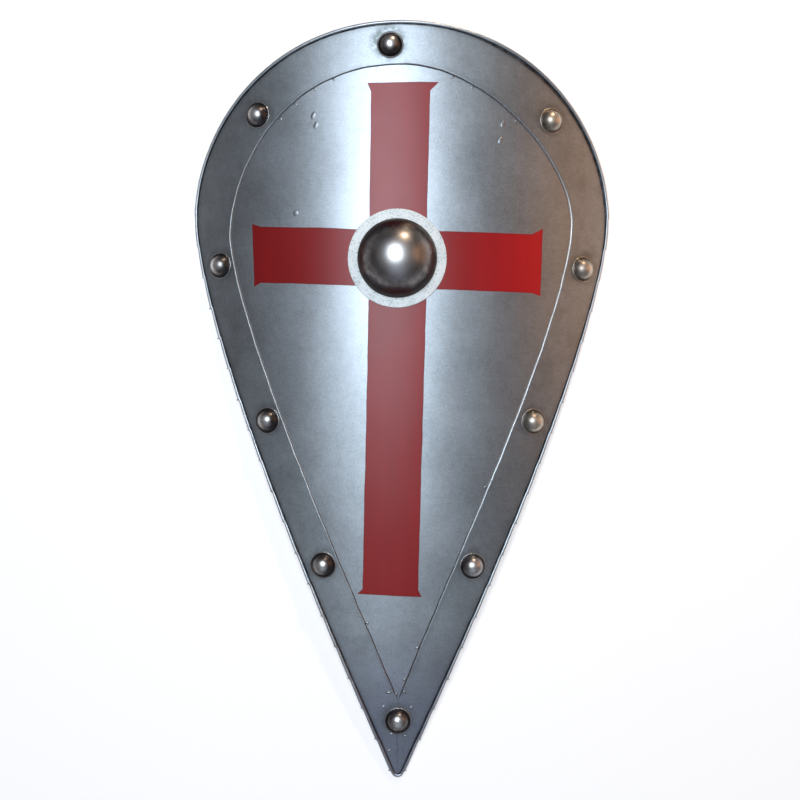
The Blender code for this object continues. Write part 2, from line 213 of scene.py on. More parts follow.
# Meshes: the runs over which lines beside the edge and the inner line close up at their ends
TIP_RUN = 0.060
POINT_RUN = 0.012
SHARP_ANGLE = math.radians(38.0)
CREASE_ACROSS = 0.006
CREASE_ALONG = 0.012


# Rest pose, from the record

def rest_matrix():
    """The tilt and place that take the bent shield to where it rests, from a mount of the record."""
    mount = next(m for m in FRAME["record"]["mounts"] if m["name"] == "point_stud_back")
    axis = mount["axis"]
    tilt = math.atan2(axis[1], -axis[2])
    local = Vector((0.0, POINT_STUD[1], STUD_SEAT - STUD_GRIP - CLENCH_THICKNESS))
    turn = Matrix.Rotation(tilt, 4, "X")
    return Matrix.Translation(Vector(mount["pos_m"]) - turn @ local) @ turn


REST = rest_matrix()
TILT = REST.to_euler().x
PLACE = REST.to_translation()


# Property groups

def colour_value(name, description, default):
    return bpy.props.FloatVectorProperty(
        name=name, description=description, subtype="COLOR", size=3, min=0.0, max=1.0, default=default)


def length_value(name, description, default, least, most):
    return bpy.props.FloatProperty(
        name=name, description=description, subtype="DISTANCE", unit="LENGTH",
        min=least, max=most, default=default)


def power_value(name, description, default):
    return bpy.props.FloatProperty(
        name=name, description=description, subtype="POWER", unit="POWER", min=0.0, default=default)


class SteelLooks(bpy.types.PropertyGroup):
    face_colour: colour_value("Face colour", "Bare steel of the face plate", (0.49, 0.54, 0.58))
    band_colour: colour_value("Band colour", "Bare steel of the border band", (0.45, 0.50, 0.535))
    ring_colour: colour_value("Ring colour", "Bright steel of the ring round the boss",
                              (0.93, 0.99, 0.98))
    rubbed_colour: colour_value("Rubbed colour", "Bright steel on top of the boss and the studs",
                                (0.90, 0.89, 0.88))
    # The dark colour is brown patina and also the shade painted low on the boss and the studs.
    dark_colour: colour_value("Dark colour", "Brown steel low on the boss and the studs",
                              (0.118, 0.108, 0.110))
    roughness: bpy.props.FloatProperty(
        name="Roughness", description="How satin the sheet steel is", subtype="FACTOR",
        min=0.0, max=1.0, default=0.40)
    waviness: length_value("Waviness", "How far the hand-bent sheets stray from a true bend",
                           0.00035, 0.0, 0.002)


class PaintLooks(bpy.types.PropertyGroup):
    colour: colour_value("Paint colour", "Red of the painted cross", (0.360, 0.005, 0.007))
    wobble: length_value("Wobble", "How far the brushed edges stray from a line", 0.0008, 0.0, 0.003)
    softness: length_value("Edge softness", "Width over which the paint ends", 0.0006, 0.0001, 0.003)


class EdgeLooks(bpy.types.PropertyGroup):
    tab_pitch: length_value("Tab pitch", "Length of one tab of the hem along the edge",
                            0.0385, 0.01, 0.2)
    tab_step: length_value("Tab step", "How far a tab's upper end stands inside its lower end",
                           0.0009, 0.0, 0.002)
    groove: length_value("Groove", "Extra gap between band and hem on the upper right",
                         0.0026, 0.0, 0.006)
    bevel: length_value("Bevel", "Width of the worn slope on the band's right inner edge",
                        0.0019, 0.0002, 0.006)
    hand_cut: length_value("Hand cut", "How far the band's inner edge strays from its line",
                           0.00016, 0.0, 0.002)


class StrapLooks(bpy.types.PropertyGroup):
    colour: colour_value("Leather colour", "Dark brown of the straps", (0.095, 0.048, 0.026))
    stitch_pitch: length_value("Stitch pitch", "Distance from stitch to stitch", 0.0046, 0.002, 0.02)
    stitch_inset: length_value("Stitch inset", "Distance of the stitches from the strap's edge",
                               0.0030, 0.001, 0.01)


class StageLooks(bpy.types.PropertyGroup):
    floor_colour: colour_value("Floor colour", "Pale floor under the shield", (0.90, 0.90, 0.90))
    floor_glow: bpy.props.FloatProperty(
        name="Floor glow", description="Light given off by the floor, which keeps it pale",
        min=0.0, default=0.55)
    main_power: power_value("Main light", "Power of the cool light near the camera", 7.0)
    overhead_power: power_value("Overhead light", "Power of the broad soft light above", 16.0)
    lamp_power: power_value("Warm lamp", "Power of the warm lamp beyond the crown", 9.5)
    side_power: power_value("Side light", "Power of the warm soft light on the right", 3.9)
    foot_power: power_value("Foot light", "Power of the cool soft light beyond the point", 3.3)
    world_strength: bpy.props.FloatProperty(
        name="Surroundings", description="Brightness of the grey surroundings",
        min=0.0, default=0.105)


# Nodes as Python

class Wire:
    """One output of a node, so that maths on it reads as Python."""

    def __init__(self, tree, socket):
        self.tree = tree
        self.socket = socket

    def math(self, operation, *others, clamp=False):
        settings = {"operation": operation, "use_clamp": clamp}
        return self.tree.node("ShaderNodeMath", settings, [self, *others])

    def __add__(self, other):
        return self.math("ADD", other)

    def __sub__(self, other):
        return self.math("SUBTRACT", other)

    def __rsub__(self, other):
        return self.math("MULTIPLY_ADD", -1.0, other)

    def __mul__(self, other):
        return self.math("MULTIPLY", other)

    def __truediv__(self, other):
        return self.math("DIVIDE", other)

    def __neg__(self):
        return self * -1.0

    __radd__ = __add__
    __rmul__ = __mul__

    def least(self, other):
        return self.math("MINIMUM", other)

    def most(self, other):
        return self.math("MAXIMUM", other)

    def size(self):
        return self.math("ABSOLUTE")

    def ramp(self, start, end):
        """Rises from 0 at start to 1 at end, and stays within them."""
        slope = 1.0 / (end - start)
        return self.math("MULTIPLY_ADD", slope, -start * slope, clamp=True)


class Nodes:
    """A node tree, whose nodes all come from one method."""

    def __init__(self, tree):
        self.tree = tree

    def node(self, kind, settings=None, inputs=(), output=0):
        node = self.tree.nodes.new(kind)
        for name, value in (settings or {}).items():
            setattr(node, name, value)
        pairs = inputs.items() if isinstance(inputs, dict) else enumerate(inputs)
        for key, value in pairs:
            if isinstance(value, Wire):
                self.tree.links.new(value.socket, node.inputs[key])
            else:
                node.inputs[key].default_value = value
        return Wire(self, node.outputs[output]) if node.outputs else node

    def outputs(self, wire):
        """All outputs of the node that a wire comes from."""
        return [Wire(self, socket) for socket in wire.socket.node.outputs]

    def split(self, vector):
        return self.outputs(self.node("ShaderNodeSeparateXYZ", inputs=[vector]))

    def joined(self, x, y, z):
        return self.node("ShaderNodeCombineXYZ", inputs=[x, y, z])

    def distance(self, x, y):
        """Length of a flat step."""
        return (x * x + y * y).math("SQRT")

    def mixed(self, factor, first, second, blend="MIX"):
        """A colour between two, or their product, sum or other blend."""
        settings = {"data_type": "RGBA", "blend_type": blend}
        first, second = [value if isinstance(value, Wire) else (*value, 1.0)
                         for value in (first, second)]
        return self.node("ShaderNodeMix", settings, {0: factor, 6: first, 7: second}, output=2)

    def times(self, colour, other, factor=1.0):
        """A colour multiplied by another or by a tone."""
        return self.mixed(factor, colour, other, blend="MULTIPLY")

    def noise(self, place, scale, detail=2.0, roughness=0.5):
        """Noise at a place, which is a vector or its three parts."""
        vector = place if isinstance(place, Wire) else self.joined(*place)
        inputs = {"Vector": vector, "Scale": scale, "Detail": detail, "Roughness": roughness}
        return self.node("ShaderNodeTexNoise", inputs=inputs)

    def place(self):
        """Where a point lies in the object's own coordinates."""
        return self.node("ShaderNodeTexCoord", output=3)

    # Reads the painted shade (up to 1) and the wear (down to -1) that the mesh carries.
    def grime(self):
        return self.node("ShaderNodeAttribute", {"attribute_name": "grime"}, output=2)


# Geometry Nodes

def new_group(name, sockets):
    """An empty geometry tree with named inputs, and wires for them by name."""
    tree = bpy.data.node_groups.new(name, "GeometryNodeTree")
    tree.interface.new_socket("Geometry", in_out="OUTPUT", socket_type="NodeSocketGeometry")
    for socket_name, kind in sockets.items():
        tree.interface.new_socket(socket_name, in_out="INPUT", socket_type=kind)
    nodes = Nodes(tree)
    first = nodes.node("NodeGroupInput")
    return nodes, dict(zip(sockets, nodes.outputs(first)))


def close_group(nodes, geometry):
    output = nodes.tree.nodes.new("NodeGroupOutput")
    nodes.tree.links.new(geometry.socket, output.inputs[0])
    return nodes.tree


SHEET_SOCKETS = {
    "Bend radius": "NodeSocketFloat",
    "Waviness": "NodeSocketFloat",
    "Tilt": "NodeSocketFloat",
    "Place": "NodeSocketVector",
}


def bend_group():
    """Bends the flat blank about an axis along v, and tips it into the rest pose."""
    nodes, wires = new_group("Bend to rest", {"Geometry": "NodeSocketGeometry", **SHEET_SOCKETS})
    position = nodes.node("GeometryNodeInputPosition")
    u, v, height = nodes.split(position)
    swell = nodes.noise((u, v, 0.0), 11.0, detail=1.0)
    free = (1.0 - u.size().ramp(0.19, 0.25)) * v.ramp(-0.575, -0.50)
    height = height + (swell - 0.5) * 2.0 * wires["Waviness"] * free
    angle = u / wires["Bend radius"]
    radius = height + wires["Bend radius"]
    x = radius * angle.math("SINE")
    z = radius * angle.math("COSINE") - wires["Bend radius"]
    tipped = nodes.node("ShaderNodeVectorRotate", {"rotation_type": "X_AXIS"},
                        {"Vector": nodes.joined(x, v, z), "Angle": wires["Tilt"]})
    placed = nodes.node("ShaderNodeVectorMath", {"operation": "ADD"}, [tipped, wires["Place"]])
    moved = nodes.node("GeometryNodeSetPosition",
                       inputs={"Geometry": wires["Geometry"], "Position": placed})
    return close_group(nodes, moved)


def bent(nodes, wires, geometry, bend):
    inputs = {"Geometry": geometry, **{name: wires[name] for name in SHEET_SOCKETS}}
    return nodes.node("GeometryNodeGroup", {"node_tree": bend}, inputs)


def finished(nodes, wires, geometry):
    """Every tree ends by making its instances real and giving them their material."""
    real = nodes.node("GeometryNodeRealizeInstances", inputs=[geometry])
    done = nodes.node("GeometryNodeSetMaterial",
                      inputs={"Geometry": real, "Material": wires["Material"]})
    return close_group(nodes, done)


def shape_to_repeat(nodes, wires):
    info = nodes.node("GeometryNodeObjectInfo", inputs={"Object": wires["Shape"]})
    return next(wire for wire in nodes.outputs(info) if wire.socket.name == "Geometry")


def random_size(nodes, wires):
    spread = wires["Size spread"]
    return nodes.node("FunctionNodeRandomValue", {"data_type": "FLOAT"},
                      {2: 1.0 - spread, 3: 1.0 + spread, "Seed": wires["Seed"]}, output=1)


def sheet_tree(bend):
    nodes, wires = new_group("Bent sheet", {
        "Geometry": "NodeSocketGeometry", "Material": "NodeSocketMaterial", **SHEET_SOCKETS})
    return finished(nodes, wires, bent(nodes, wires, wires["Geometry"], bend))


def placed_tree(bend):
    """Puts one shape at each point of the blank, turned and sized by the point's attributes."""
    nodes, wires = new_group("Placed on sheet", {
        "Geometry": "NodeSocketGeometry", "Material": "NodeSocketMaterial",
        "Shape": "NodeSocketObject", "Size spread": "NodeSocketFloat", "Seed": "NodeSocketInt",
        **SHEET_SOCKETS})
    shape = shape_to_repeat(nodes, wires)
    turn = nodes.node("GeometryNodeInputNamedAttribute", {"data_type": "FLOAT"}, {"Name": "turn"})
    size = nodes.node("GeometryNodeInputNamedAttribute", {"data_type": "FLOAT_VECTOR"},
                      {"Name": "size"})
    rotation = nodes.node("FunctionNodeEulerToRotation", inputs=[nodes.joined(0.0, 0.0, turn)])
    scale = nodes.node("ShaderNodeVectorMath", {"operation": "SCALE"},
                       {"Vector": size, "Scale": random_size(nodes, wires)})
    instances = nodes.node("GeometryNodeInstanceOnPoints", inputs={
        "Points": wires["Geometry"], "Instance": shape, "Rotation": rotation, "Scale": scale})
    real = nodes.node("GeometryNodeRealizeInstances", inputs=[instances])
    return finished(nodes, wires, bent(nodes, wires, real, bend))


def row_tree(bend=None):
    """Repeats one shape at an even pitch along lines, with its X along them and its Z up."""
    sockets = {
        "Geometry": "NodeSocketGeometry", "Material": "NodeSocketMaterial",
        "Shape": "NodeSocketObject", "Pitch": "NodeSocketFloat", "Up": "NodeSocketVector",
        "Size spread": "NodeSocketFloat", "Seed": "NodeSocketInt"}
    name = "Row on sheet" if bend else "Row in space"
    nodes, wires = new_group(name, {**sockets, **(SHEET_SOCKETS if bend else {})})
    shape = shape_to_repeat(nodes, wires)
    curve = nodes.node("GeometryNodeMeshToCurve", inputs=[wires["Geometry"]])
    evened = nodes.node("GeometryNodeResampleCurve", {"mode": "LENGTH"},
                        {"Curve": curve, "Length": wires["Pitch"]})
    along = nodes.node("FunctionNodeAlignRotationToVector", {"axis": "X"},
                       {"Vector": nodes.node("GeometryNodeInputTangent")})
    upright = nodes.node("FunctionNodeAlignRotationToVector", {"axis": "Z", "pivot_axis": "X"},
                         {"Rotation": along, "Vector": wires["Up"]})
    instances = nodes.node("GeometryNodeInstanceOnPoints", inputs={
        "Points": evened, "Instance": shape, "Rotation": upright,
        "Scale": random_size(nodes, wires)})
    geometry = nodes.node("GeometryNodeRealizeInstances", inputs=[instances])
    if bend:
        geometry = bent(nodes, wires, geometry, bend)
    return finished(nodes, wires, geometry)


def build_trees():
    bend = bend_group()
    sheet_tree(bend)
    placed_tree(bend)
    row_tree(bend)
    row_tree()


def sheet_values(looks):
    return {"Bend radius": BEND_RADIUS, "Waviness": looks.waviness, "Tilt": TILT, "Place": PLACE}


# Mesh helpers

def linked(name, mesh):
    item = bpy.data.objects.new(name, mesh)
    bpy.context.scene.collection.objects.link(item)
    return item


def plain_object(name, mesh_data):
    """Turns a bmesh into an object, with its faces outward."""
    bmesh.ops.recalc_face_normals(mesh_data, faces=mesh_data.faces)
    mesh = bpy.data.meshes.new(name)
    mesh_data.to_mesh(mesh)
    mesh_data.free()
    return linked(name, mesh)


def smoothed(item):
    """Smooth faces, with their edges kept where they turn sharply."""
    item.data.polygons.foreach_set("use_smooth", [True] * len(item.data.polygons))
    item.data.set_sharp_from_angle(angle=SHARP_ANGLE)
    return item


def made_by(tree_name, source, values, helpers=()):
    """The source after a geometry tree, as a plain object of the same name."""
    tree = bpy.data.node_groups[tree_name]
    modifier = source.modifiers.new(tree_name, "NODES")
    modifier.node_group = tree
    for socket in tree.interface.items_tree:
        if socket.in_out == "INPUT" and socket.name in values:
            modifier[socket.identifier] = values[socket.name]
    for helper in helpers:
        helper.data.materials.append(values["Material"])
    name = source.name
    depsgraph = bpy.context.evaluated_depsgraph_get()
    mesh = bpy.data.meshes.new_from_object(source.evaluated_get(depsgraph), depsgraph=depsgraph)
    source.modifiers.remove(modifier)
    for old in (source, *helpers):
        bpy.data.objects.remove(old, do_unlink=True)
    if not mesh.polygons:
        raise RuntimeError(f"{name} came out of {tree_name} empty")
    mesh.name = name
    return smoothed(linked(name, mesh))


def merged(name, items):
    """One object of several, in place of them."""
    mesh_data = bmesh.new()
    materials = []
    for item in items:
        start = len(mesh_data.faces)
        mesh_data.from_mesh(item.data)
        mesh_data.faces.ensure_lookup_table()
        material = item.data.materials[0]
        if material not in materials:
            materials.append(material)
        for face in mesh_data.faces[start:]:
            face.material_index = materials.index(material)
    mesh = bpy.data.meshes.new(name)
    mesh_data.to_mesh(mesh)
    mesh_data.free()
    for material in materials:
        mesh.materials.append(material)
    for item in items:
        bpy.data.objects.remove(item, do_unlink=True)
    return smoothed(linked(name, mesh))


def loft(loops, closed_loops, wrap=False, caps=False, grime=None):
    """Joins point loops of equal length with quads; the shade value is 1 where shade is painted dark,
    -1 where rubbed.
    """
    mesh_data = bmesh.new()
    shade_wear = mesh_data.verts.layers.float.new("grime")
    rows = []
    for number, loop in enumerate(loops):
        rows.append([mesh_data.verts.new(point) for point in loop])
        for vert, share in zip(rows[-1], grime[number] if grime else [0.0] * len(loop)):
            vert[shade_wear] = share
    count = len(rows[0])
    pairs = list(zip(rows, rows[1:]))
    if wrap:
        pairs.append((rows[-1], rows[0]))
    for low, high in pairs:
        for i in range(count if closed_loops else count - 1):
            j = (i + 1) % count
            mesh_data.faces.new((low[i], low[j], high[j], high[i]))
    if caps:
        mesh_data.faces.new(rows[0])
        mesh_data.faces.new(rows[-1])
    return mesh_data


def lathe(profile, segments, grime=None):
    """Spins (radius, height) points about Z and closes the ends on the axis."""
    mesh_data = bmesh.new()
    shade_wear = mesh_data.verts.layers.float.new("grime")
    points = [mesh_data.verts.new((radius, 0.0, height)) for radius, height in profile]
    for point, share in zip(points, grime or [0.0] * len(points)):
        point[shade_wear] = share
    edges = [mesh_data.edges.new(pair) for pair in zip(points, points[1:])]
    bmesh.ops.spin(mesh_data, geom=points + edges, cent=(0.0, 0.0, 0.0), axis=(0.0, 0.0, 1.0),
                   angle=math.tau, steps=segments, use_merge=True)
    bmesh.ops.remove_doubles(mesh_data, verts=mesh_data.verts, dist=1e-6)
    return mesh_data


def dome_profile(base_radius, height, rings, lift=0.0):
    """Points of a spherical cap, from its top down to its base circle."""
    sphere = (base_radius ** 2 + height ** 2) / (2.0 * height)
    spread = math.asin(min(1.0, base_radius / sphere))
    angles = [spread * step / rings for step in range(rings + 1)]
    return [(sphere * math.sin(a), sphere * math.cos(a) - sphere + height + lift) for a in angles]


def creased(mesh_data):
    """Cuts a flat sheet at an even pitch both ways, so that it can bend and swell smoothly."""
    for axis, pitch in enumerate((CREASE_ACROSS, CREASE_ALONG)):
        places = [vert.co[axis] for vert in mesh_data.verts]
        normal = Vector((0.0, 0.0, 0.0))
        normal[axis] = 1.0
        for step in range(math.ceil(min(places) / pitch), math.floor(max(places) / pitch) + 1):
            bmesh.ops.bisect_plane(
                mesh_data, geom=mesh_data.verts[:] + mesh_data.edges[:] + mesh_data.faces[:],
                dist=1e-6, plane_co=normal * step * pitch, plane_no=normal)
    return mesh_data


def ends_closed(mesh_data):
    ends = [edge for edge in mesh_data.edges if edge.is_boundary]
    bmesh.ops.holes_fill(mesh_data, edges=ends, sides=0)
    return mesh_data


# Flat drawing

def bezier(start, start_handle, end_handle, end, steps):
    points = []
    for step in range(steps + 1):
        t = step / steps
        s = 1.0 - t
        points.append(s**3 * start + 3*s*s*t * start_handle + 3*s*t*t * end_handle + t**3 * end)
    return points


def half_curve(top, end, half_width, widest_at, crown_reach, shoulder_reach,
               flank_reach, point_reach, half_angle, steps=150):
    """One half of a kite line: over the crown to the widest place, then down the flank."""
    crown = Vector((0.0, top))
    widest = Vector((half_width, widest_at))
    along_side = Vector((math.sin(half_angle), math.cos(half_angle)))
    over = bezier(crown, crown + Vector((crown_reach, 0.0)),
                  widest + Vector((0.0, shoulder_reach)), widest, steps)
    down = bezier(widest, widest - Vector((0.0, flank_reach)),
                  end + along_side * point_reach, end, 2 * steps)
    return over + down[1:]


def outline_half():
    """Right half of the plate's edge, from the crown down to the rounded tip."""
    tip_steps = 12
    centre = Vector((0.0, TIP_END + TIP_RADIUS))
    start = 0.5 * math.pi - POINT_HALF_ANGLE
    angles = [start * (1.0 - step / tip_steps) for step in range(tip_steps + 1)]
    arc = [centre + TIP_RADIUS * Vector((math.sin(a), -math.cos(a))) for a in angles]
    side = half_curve(CROWN_TOP, arc[0], HALF_WIDTH, WIDEST_AT, CROWN_REACH,
                      SHOULDER_REACH, FLANK_REACH, POINT_REACH, POINT_HALF_ANGLE)
    return side + arc[1:]


def inner_line(line):
    return half_curve(LINE_TOP, Vector((0.0, LINE_POINT)), **line)


def mirrored(points):
    return [Vector((-point.x, point.y)) for point in points]


def both_sides(values):
    """Values of one half, given to the other half too, on the way back up."""
    return values + values[-2:0:-1]


def both_halves(half):
    return half + mirrored(half)[-2:0:-1]


def inset(points, distances, closed=True):
    """Moves each point of a clockwise line inward, square to the line."""
    moved = []
    last = len(points) - 1
    for i, point in enumerate(points):
        before = points[i - 1] if closed or i > 0 else point
        after = points[(i + 1) % len(points)] if closed or i < last else point
        along = (after - before).normalized()
        distance = distances[i] if isinstance(distances, list) else distances
        moved.append(point + distance * Vector((along.y, -along.x)))
    return moved


def tapered(points, distance, run):
    """The same distance along a line, let out to nothing over a run before the line's end."""
    lengths = running_length(points)
    return [distance * eased(lengths[-1] - length, 0.0, run) for length in lengths]


def running_length(points):
    lengths = [0.0]
    for before, after in zip(points, points[1:]):
        lengths.append(lengths[-1] + (after - before).length)
    return lengths


def eased(value, start, end):
    """Smooth rise from 0 at start to 1 at end."""
    t = min(1.0, max(0.0, (value - start) / (end - start)))
    return t * t * (3.0 - 2.0 * t)


def across(points, v):
    """How far out a line runs at a place along the shield."""
    for low, high in zip(points[1:], points):
        if low.y <= v < high.y:
            return low.x + (high.x - low.x) * (v - low.y) / (high.y - low.y)
    raise ValueError(f"the line doesn't pass {v} m")


def stud_places():
    """Stud centres on the blank, from the crown down, left before right in each pair."""
    edge = outline_half()
    lines = (inner_line(LINE_RIGHT), inner_line(LINE_LEFT))
    places = [TOP_STUD]
    for pair in zip(LEFT_STUDS, RIGHT_STUDS):
        for side, (share, v) in zip((-1.0, 1.0), pair):
            line_at = 0.5 * sum(across(line, v) for line in lines)
            places.append((side * (line_at + share * (across(edge, v) - line_at)), v))
    return places + [POINT_STUD]


def seat(u, v, height):
    """Frame standing square on the bent sheet in its rest pose, with Z outward from its front."""
    angle = u / BEND_RADIUS
    radius = BEND_RADIUS + height
    place = Vector((radius * math.sin(angle), v, radius * math.cos(angle) - BEND_RADIUS))
    return REST @ Matrix.Translation(place) @ Matrix.Rotation(angle, 4, "Y")


def points_object(name, places):
    """Bare points with turn and size, as (u, v, height, turn, (size along, across, up))."""
    mesh = bpy.data.meshes.new(name)
    mesh.from_pydata([place[:3] for place in places], [], [])
    turn = mesh.attributes.new("turn", "FLOAT", "POINT")
    turn.data.foreach_set("value", [place[3] for place in places])
    size = mesh.attributes.new("size", "FLOAT_VECTOR", "POINT")
    size.data.foreach_set("vector", [value for place in places for value in place[4]])
    return linked(name, mesh)


def placed(name, places, shape, material, values, spread=0.0, seed=1):
    """One shape at each place on the blank, bent with it."""
    return made_by("Placed on sheet", points_object(name, places), {
        **values, "Material": bpy.data.materials[material], "Shape": shape,
        "Size spread": spread, "Seed": seed}, helpers=[shape])


def bent_sheet(name, mesh_data, material, values):
    flat = plain_object(name, mesh_data)
    return made_by("Bent sheet", flat, {**values, "Material": bpy.data.materials[material]})


def lines_object(name, lines):
    """Open polylines as edges, for a row that follows them."""
    points = [tuple(point) for line in lines for point in line]
    edges = []
    start = 0
    for line in lines:
        edges += [(start + i, start + i + 1) for i in range(len(line) - 1)]
        start += len(line)
    mesh = bpy.data.meshes.new(name)
    mesh.from_pydata(points, edges, [])
    return linked(name, mesh)


def blob(name, half_length=1.0, half_width=1.0, height=1.0, detail=2):
    """A low rounded lump of weld, one unit in each direction unless told otherwise."""
    mesh_data = bmesh.new()
    bmesh.ops.create_icosphere(mesh_data, subdivisions=detail, radius=1.0)
    bmesh.ops.scale(mesh_data, vec=(half_length, half_width, height), verts=mesh_data.verts)
    return plain_object(name, mesh_data)


# Sheets

def upper_right(point):
    """Rises to 1 on the upper right, where the hem stands clear of the band."""
    return eased(point.x, 0.05, 0.14) * eased(point.y, 0.0, 0.09)


def tabs_before(looks, length):
    """How many tabs of the hem lie before a length along the edge."""
    return length / looks.tab_pitch + FIRST_TAB_SHARE


def hem_shift(looks, point, length):
    """How far the hem stands inside the outline: each tab runs outward and then steps back."""
    share = 1.0 - eased(point.y, 0.02, 0.13)
    phase = tabs_before(looks, length) % 1.0
    return looks.tab_step * share * (1.0 - phase) ** 1.5


def roll_painted_shade(point):
    """How dark the shade painted at the hem's inner end is: less on the upper right."""
    return 1.0 - 0.6 * upper_right(point)


def roll_wear(point):
    """How bright the outside of the hem is rubbed: most on the flanks, hardly at the crown."""
    flank = eased(abs(point.x), 0.15, 0.25)
    return (0.35 + 0.65 * flank) * (1.0 if point.x > 0.0 else 0.7)


def draw_plate(looks):
    """The plate on its blank: back, rolled hem made in tabs, and front."""
    half = outline_half()
    lengths = running_length(half)
    shifts = [hem_shift(looks, point, length) for point, length in zip(half, lengths)]
    shifts = both_sides(shifts)
    line = inset(both_halves(half), shifts)
    roll_steps = 14
    radii = [ROLL_RADIUS - 0.35 * shift for shift in shifts]
    loops = []
    grime = []
    for step in range(roll_steps + 1):
        depths, heights = [], []
        for radius in radii:
            centre = radius - PLATE_THICKNESS
            front = math.asin(-centre / radius)
            sweep = math.tau - (front + 0.5 * math.pi)
            angle = -0.5 * math.pi - sweep * step / roll_steps
            depths.append(radius * (1.0 + math.cos(angle)))
            heights.append(centre + radius * math.sin(angle))
        loops.append([(p.x, p.y, h) for p, h in zip(inset(line, depths), heights)])
        # Painted shade: the roll is painted dark at its inner end, in the groove by the band; its
        # rubbed outside is wear.
        soot_and_painted_shade = eased(step, 0.74 * roll_steps, 0.92 * roll_steps)
        wear = eased(step, 0.20 * roll_steps, 0.32 * roll_steps) * (
            1.0 - eased(step, 0.60 * roll_steps, 0.78 * roll_steps))
        grime.append([soot_and_painted_shade * roll_painted_shade(point) - wear * roll_wear(point) for point in line])
    # Painted shade on the plate's front beside the roll, in the groove under the band's edge.
    foot_gap = 0.0002
    for reach, soot_and_painted_shade in ((0.0003, 1.0), (0.0040, 0.7), (0.0065, 0.0)):
        more = both_sides(tapered(half, reach - foot_gap, TIP_RUN))
        foot = [depth + foot_gap + extra for depth, extra in zip(depths, more)]
        loops.append([(p.x, p.y, 0.0) for p in inset(line, foot)])
        grime.append([soot_and_painted_shade] * len(line))
    mesh_data = loft(loops, closed_loops=True, caps=True, grime=grime)
    return creased(mesh_data)


def hand_cut(looks, line):
    """The line with the small waves of a cut made by hand."""
    lengths = running_length(line)
    waves = [looks.hand_cut * (math.sin(length * 95.0) + 0.7 * math.sin(length * 233.0 + 1.0))
             * eased(length, 0.0, 0.03) for length in lengths]
    return inset(line, waves, closed=False)


def line_painted_shade(point):
    """How dark the shade painted along the inner line is: most at the crown, where its edge faces
    down, and towards the point, where there is soot as well.
    """
    return eased(point.y, 0.10, 0.20) + eased(-point.y, 0.22, 0.36)


def band_lines(line, gaps, slope, looks):
    """Lines of one half of the band with height and painted shade, from its outer foot to its inner.
    """
    half = outline_half()
    outer = inset(both_halves(half), 2.0 * ROLL_RADIUS + BAND_TO_ROLL)[:len(half)]
    outer = inset(outer, gaps, closed=False)
    inner = hand_cut(looks, inner_line(line))
    top = SEAT_GAP + BAND_THICKNESS
    # Painted shade on the band's outer edge, darkest at its foot in the groove beside the hem.
    lines = [(outer, SEAT_GAP, [1.0] * len(outer))]
    for reach, drop, grime in ((0.0, 0.0003, 0.9), (0.0003, 0.0, 0.55), (0.0008, 0.0, 0.3),
                               (0.0050, 0.0, 0.0)):
        lines.append((inset(outer, tapered(outer, reach, TIP_RUN), closed=False), top - drop,
                      [grime] * len(outer)))
    # Painted shade down the inner slope, darkest at its foot in the line.
    soot_and_painted_shade = [line_painted_shade(point) for point in inner]
    for reach, rise, grime in ((4.5, 1.0, 0.0), (1.5, 1.0, 0.25), (1.0, 1.0, 0.5),
                               (0.6, 0.85, 0.7), (0.25, 0.55, 0.9), (0.0, 0.25, 1.0)):
        out = [-distance for distance in tapered(inner, slope * reach, POINT_RUN)]
        lines.append((inset(inner, out, closed=False), SEAT_GAP + BAND_THICKNESS * rise,
                      [grime * share for share in soot_and_painted_shade]))
    lines.append((inner, SEAT_GAP, [1.0] * len(inner)))
    kept = []
    for points, height, grime in lines:
        more = len(half) - len(points)
        points = [point.copy() for point in points + points[-1:] * more]
        points[0].x = 0.0
        for point in points[1:]:
            point.x = max(point.x, 0.5 * BAND_SEAM)
        kept.append((points, height, grime + grime[-1:] * more))
    return kept


def draw_band(looks):
    """The border band on its blank, split by a fine seam below the V of its inner line."""
    half = outline_half()
    wide = [looks.groove * upper_right(point) for point in half]
    right = band_lines(LINE_RIGHT, wide, looks.bevel, looks)
    left = band_lines(LINE_LEFT, [0.0] * len(half), BAND_SLOPE, looks)
    loops = []
    grime = []
    for (left_line, height, left_painted_shade), (right_line, _, right_painted_shade) in zip(left, right):
        line = mirrored(left_line)[::-1] + right_line[1:]
        loops.append([(point.x, point.y, height) for point in line])
        grime.append(left_painted_shade[::-1] + right_painted_shade[1:])
    mesh_data = loft(loops, closed_loops=False, wrap=True, grime=grime)
    bmesh.ops.remove_doubles(mesh_data, verts=mesh_data.verts, dist=1e-7)
    return creased(ends_closed(mesh_data))


def draw_ring():
    """The bright ring under the boss, with its edges broken."""
    segments = 128
    low = SEAT_GAP
    high = SEAT_GAP + RING_THICKNESS
    edge = 0.0004
    middle = 0.5 * (RING_RADIUS + RING_BORE)
    profile = [(RING_RADIUS - 0.0002, low), (RING_RADIUS, low + edge), (RING_RADIUS, high - edge),
               (RING_RADIUS - edge, high), (middle, high), (RING_BORE, high), (RING_BORE, low),
               (middle, low)]
    turns = [math.tau * step / segments for step in range(segments)]
    loops = [[(BOSS_AT[0] + radius * math.sin(a), BOSS_AT[1] + radius * math.cos(a), height)
              for a in turns] for radius, height in profile]
    return loft(loops, closed_loops=True, wrap=True)


# Boss and studs

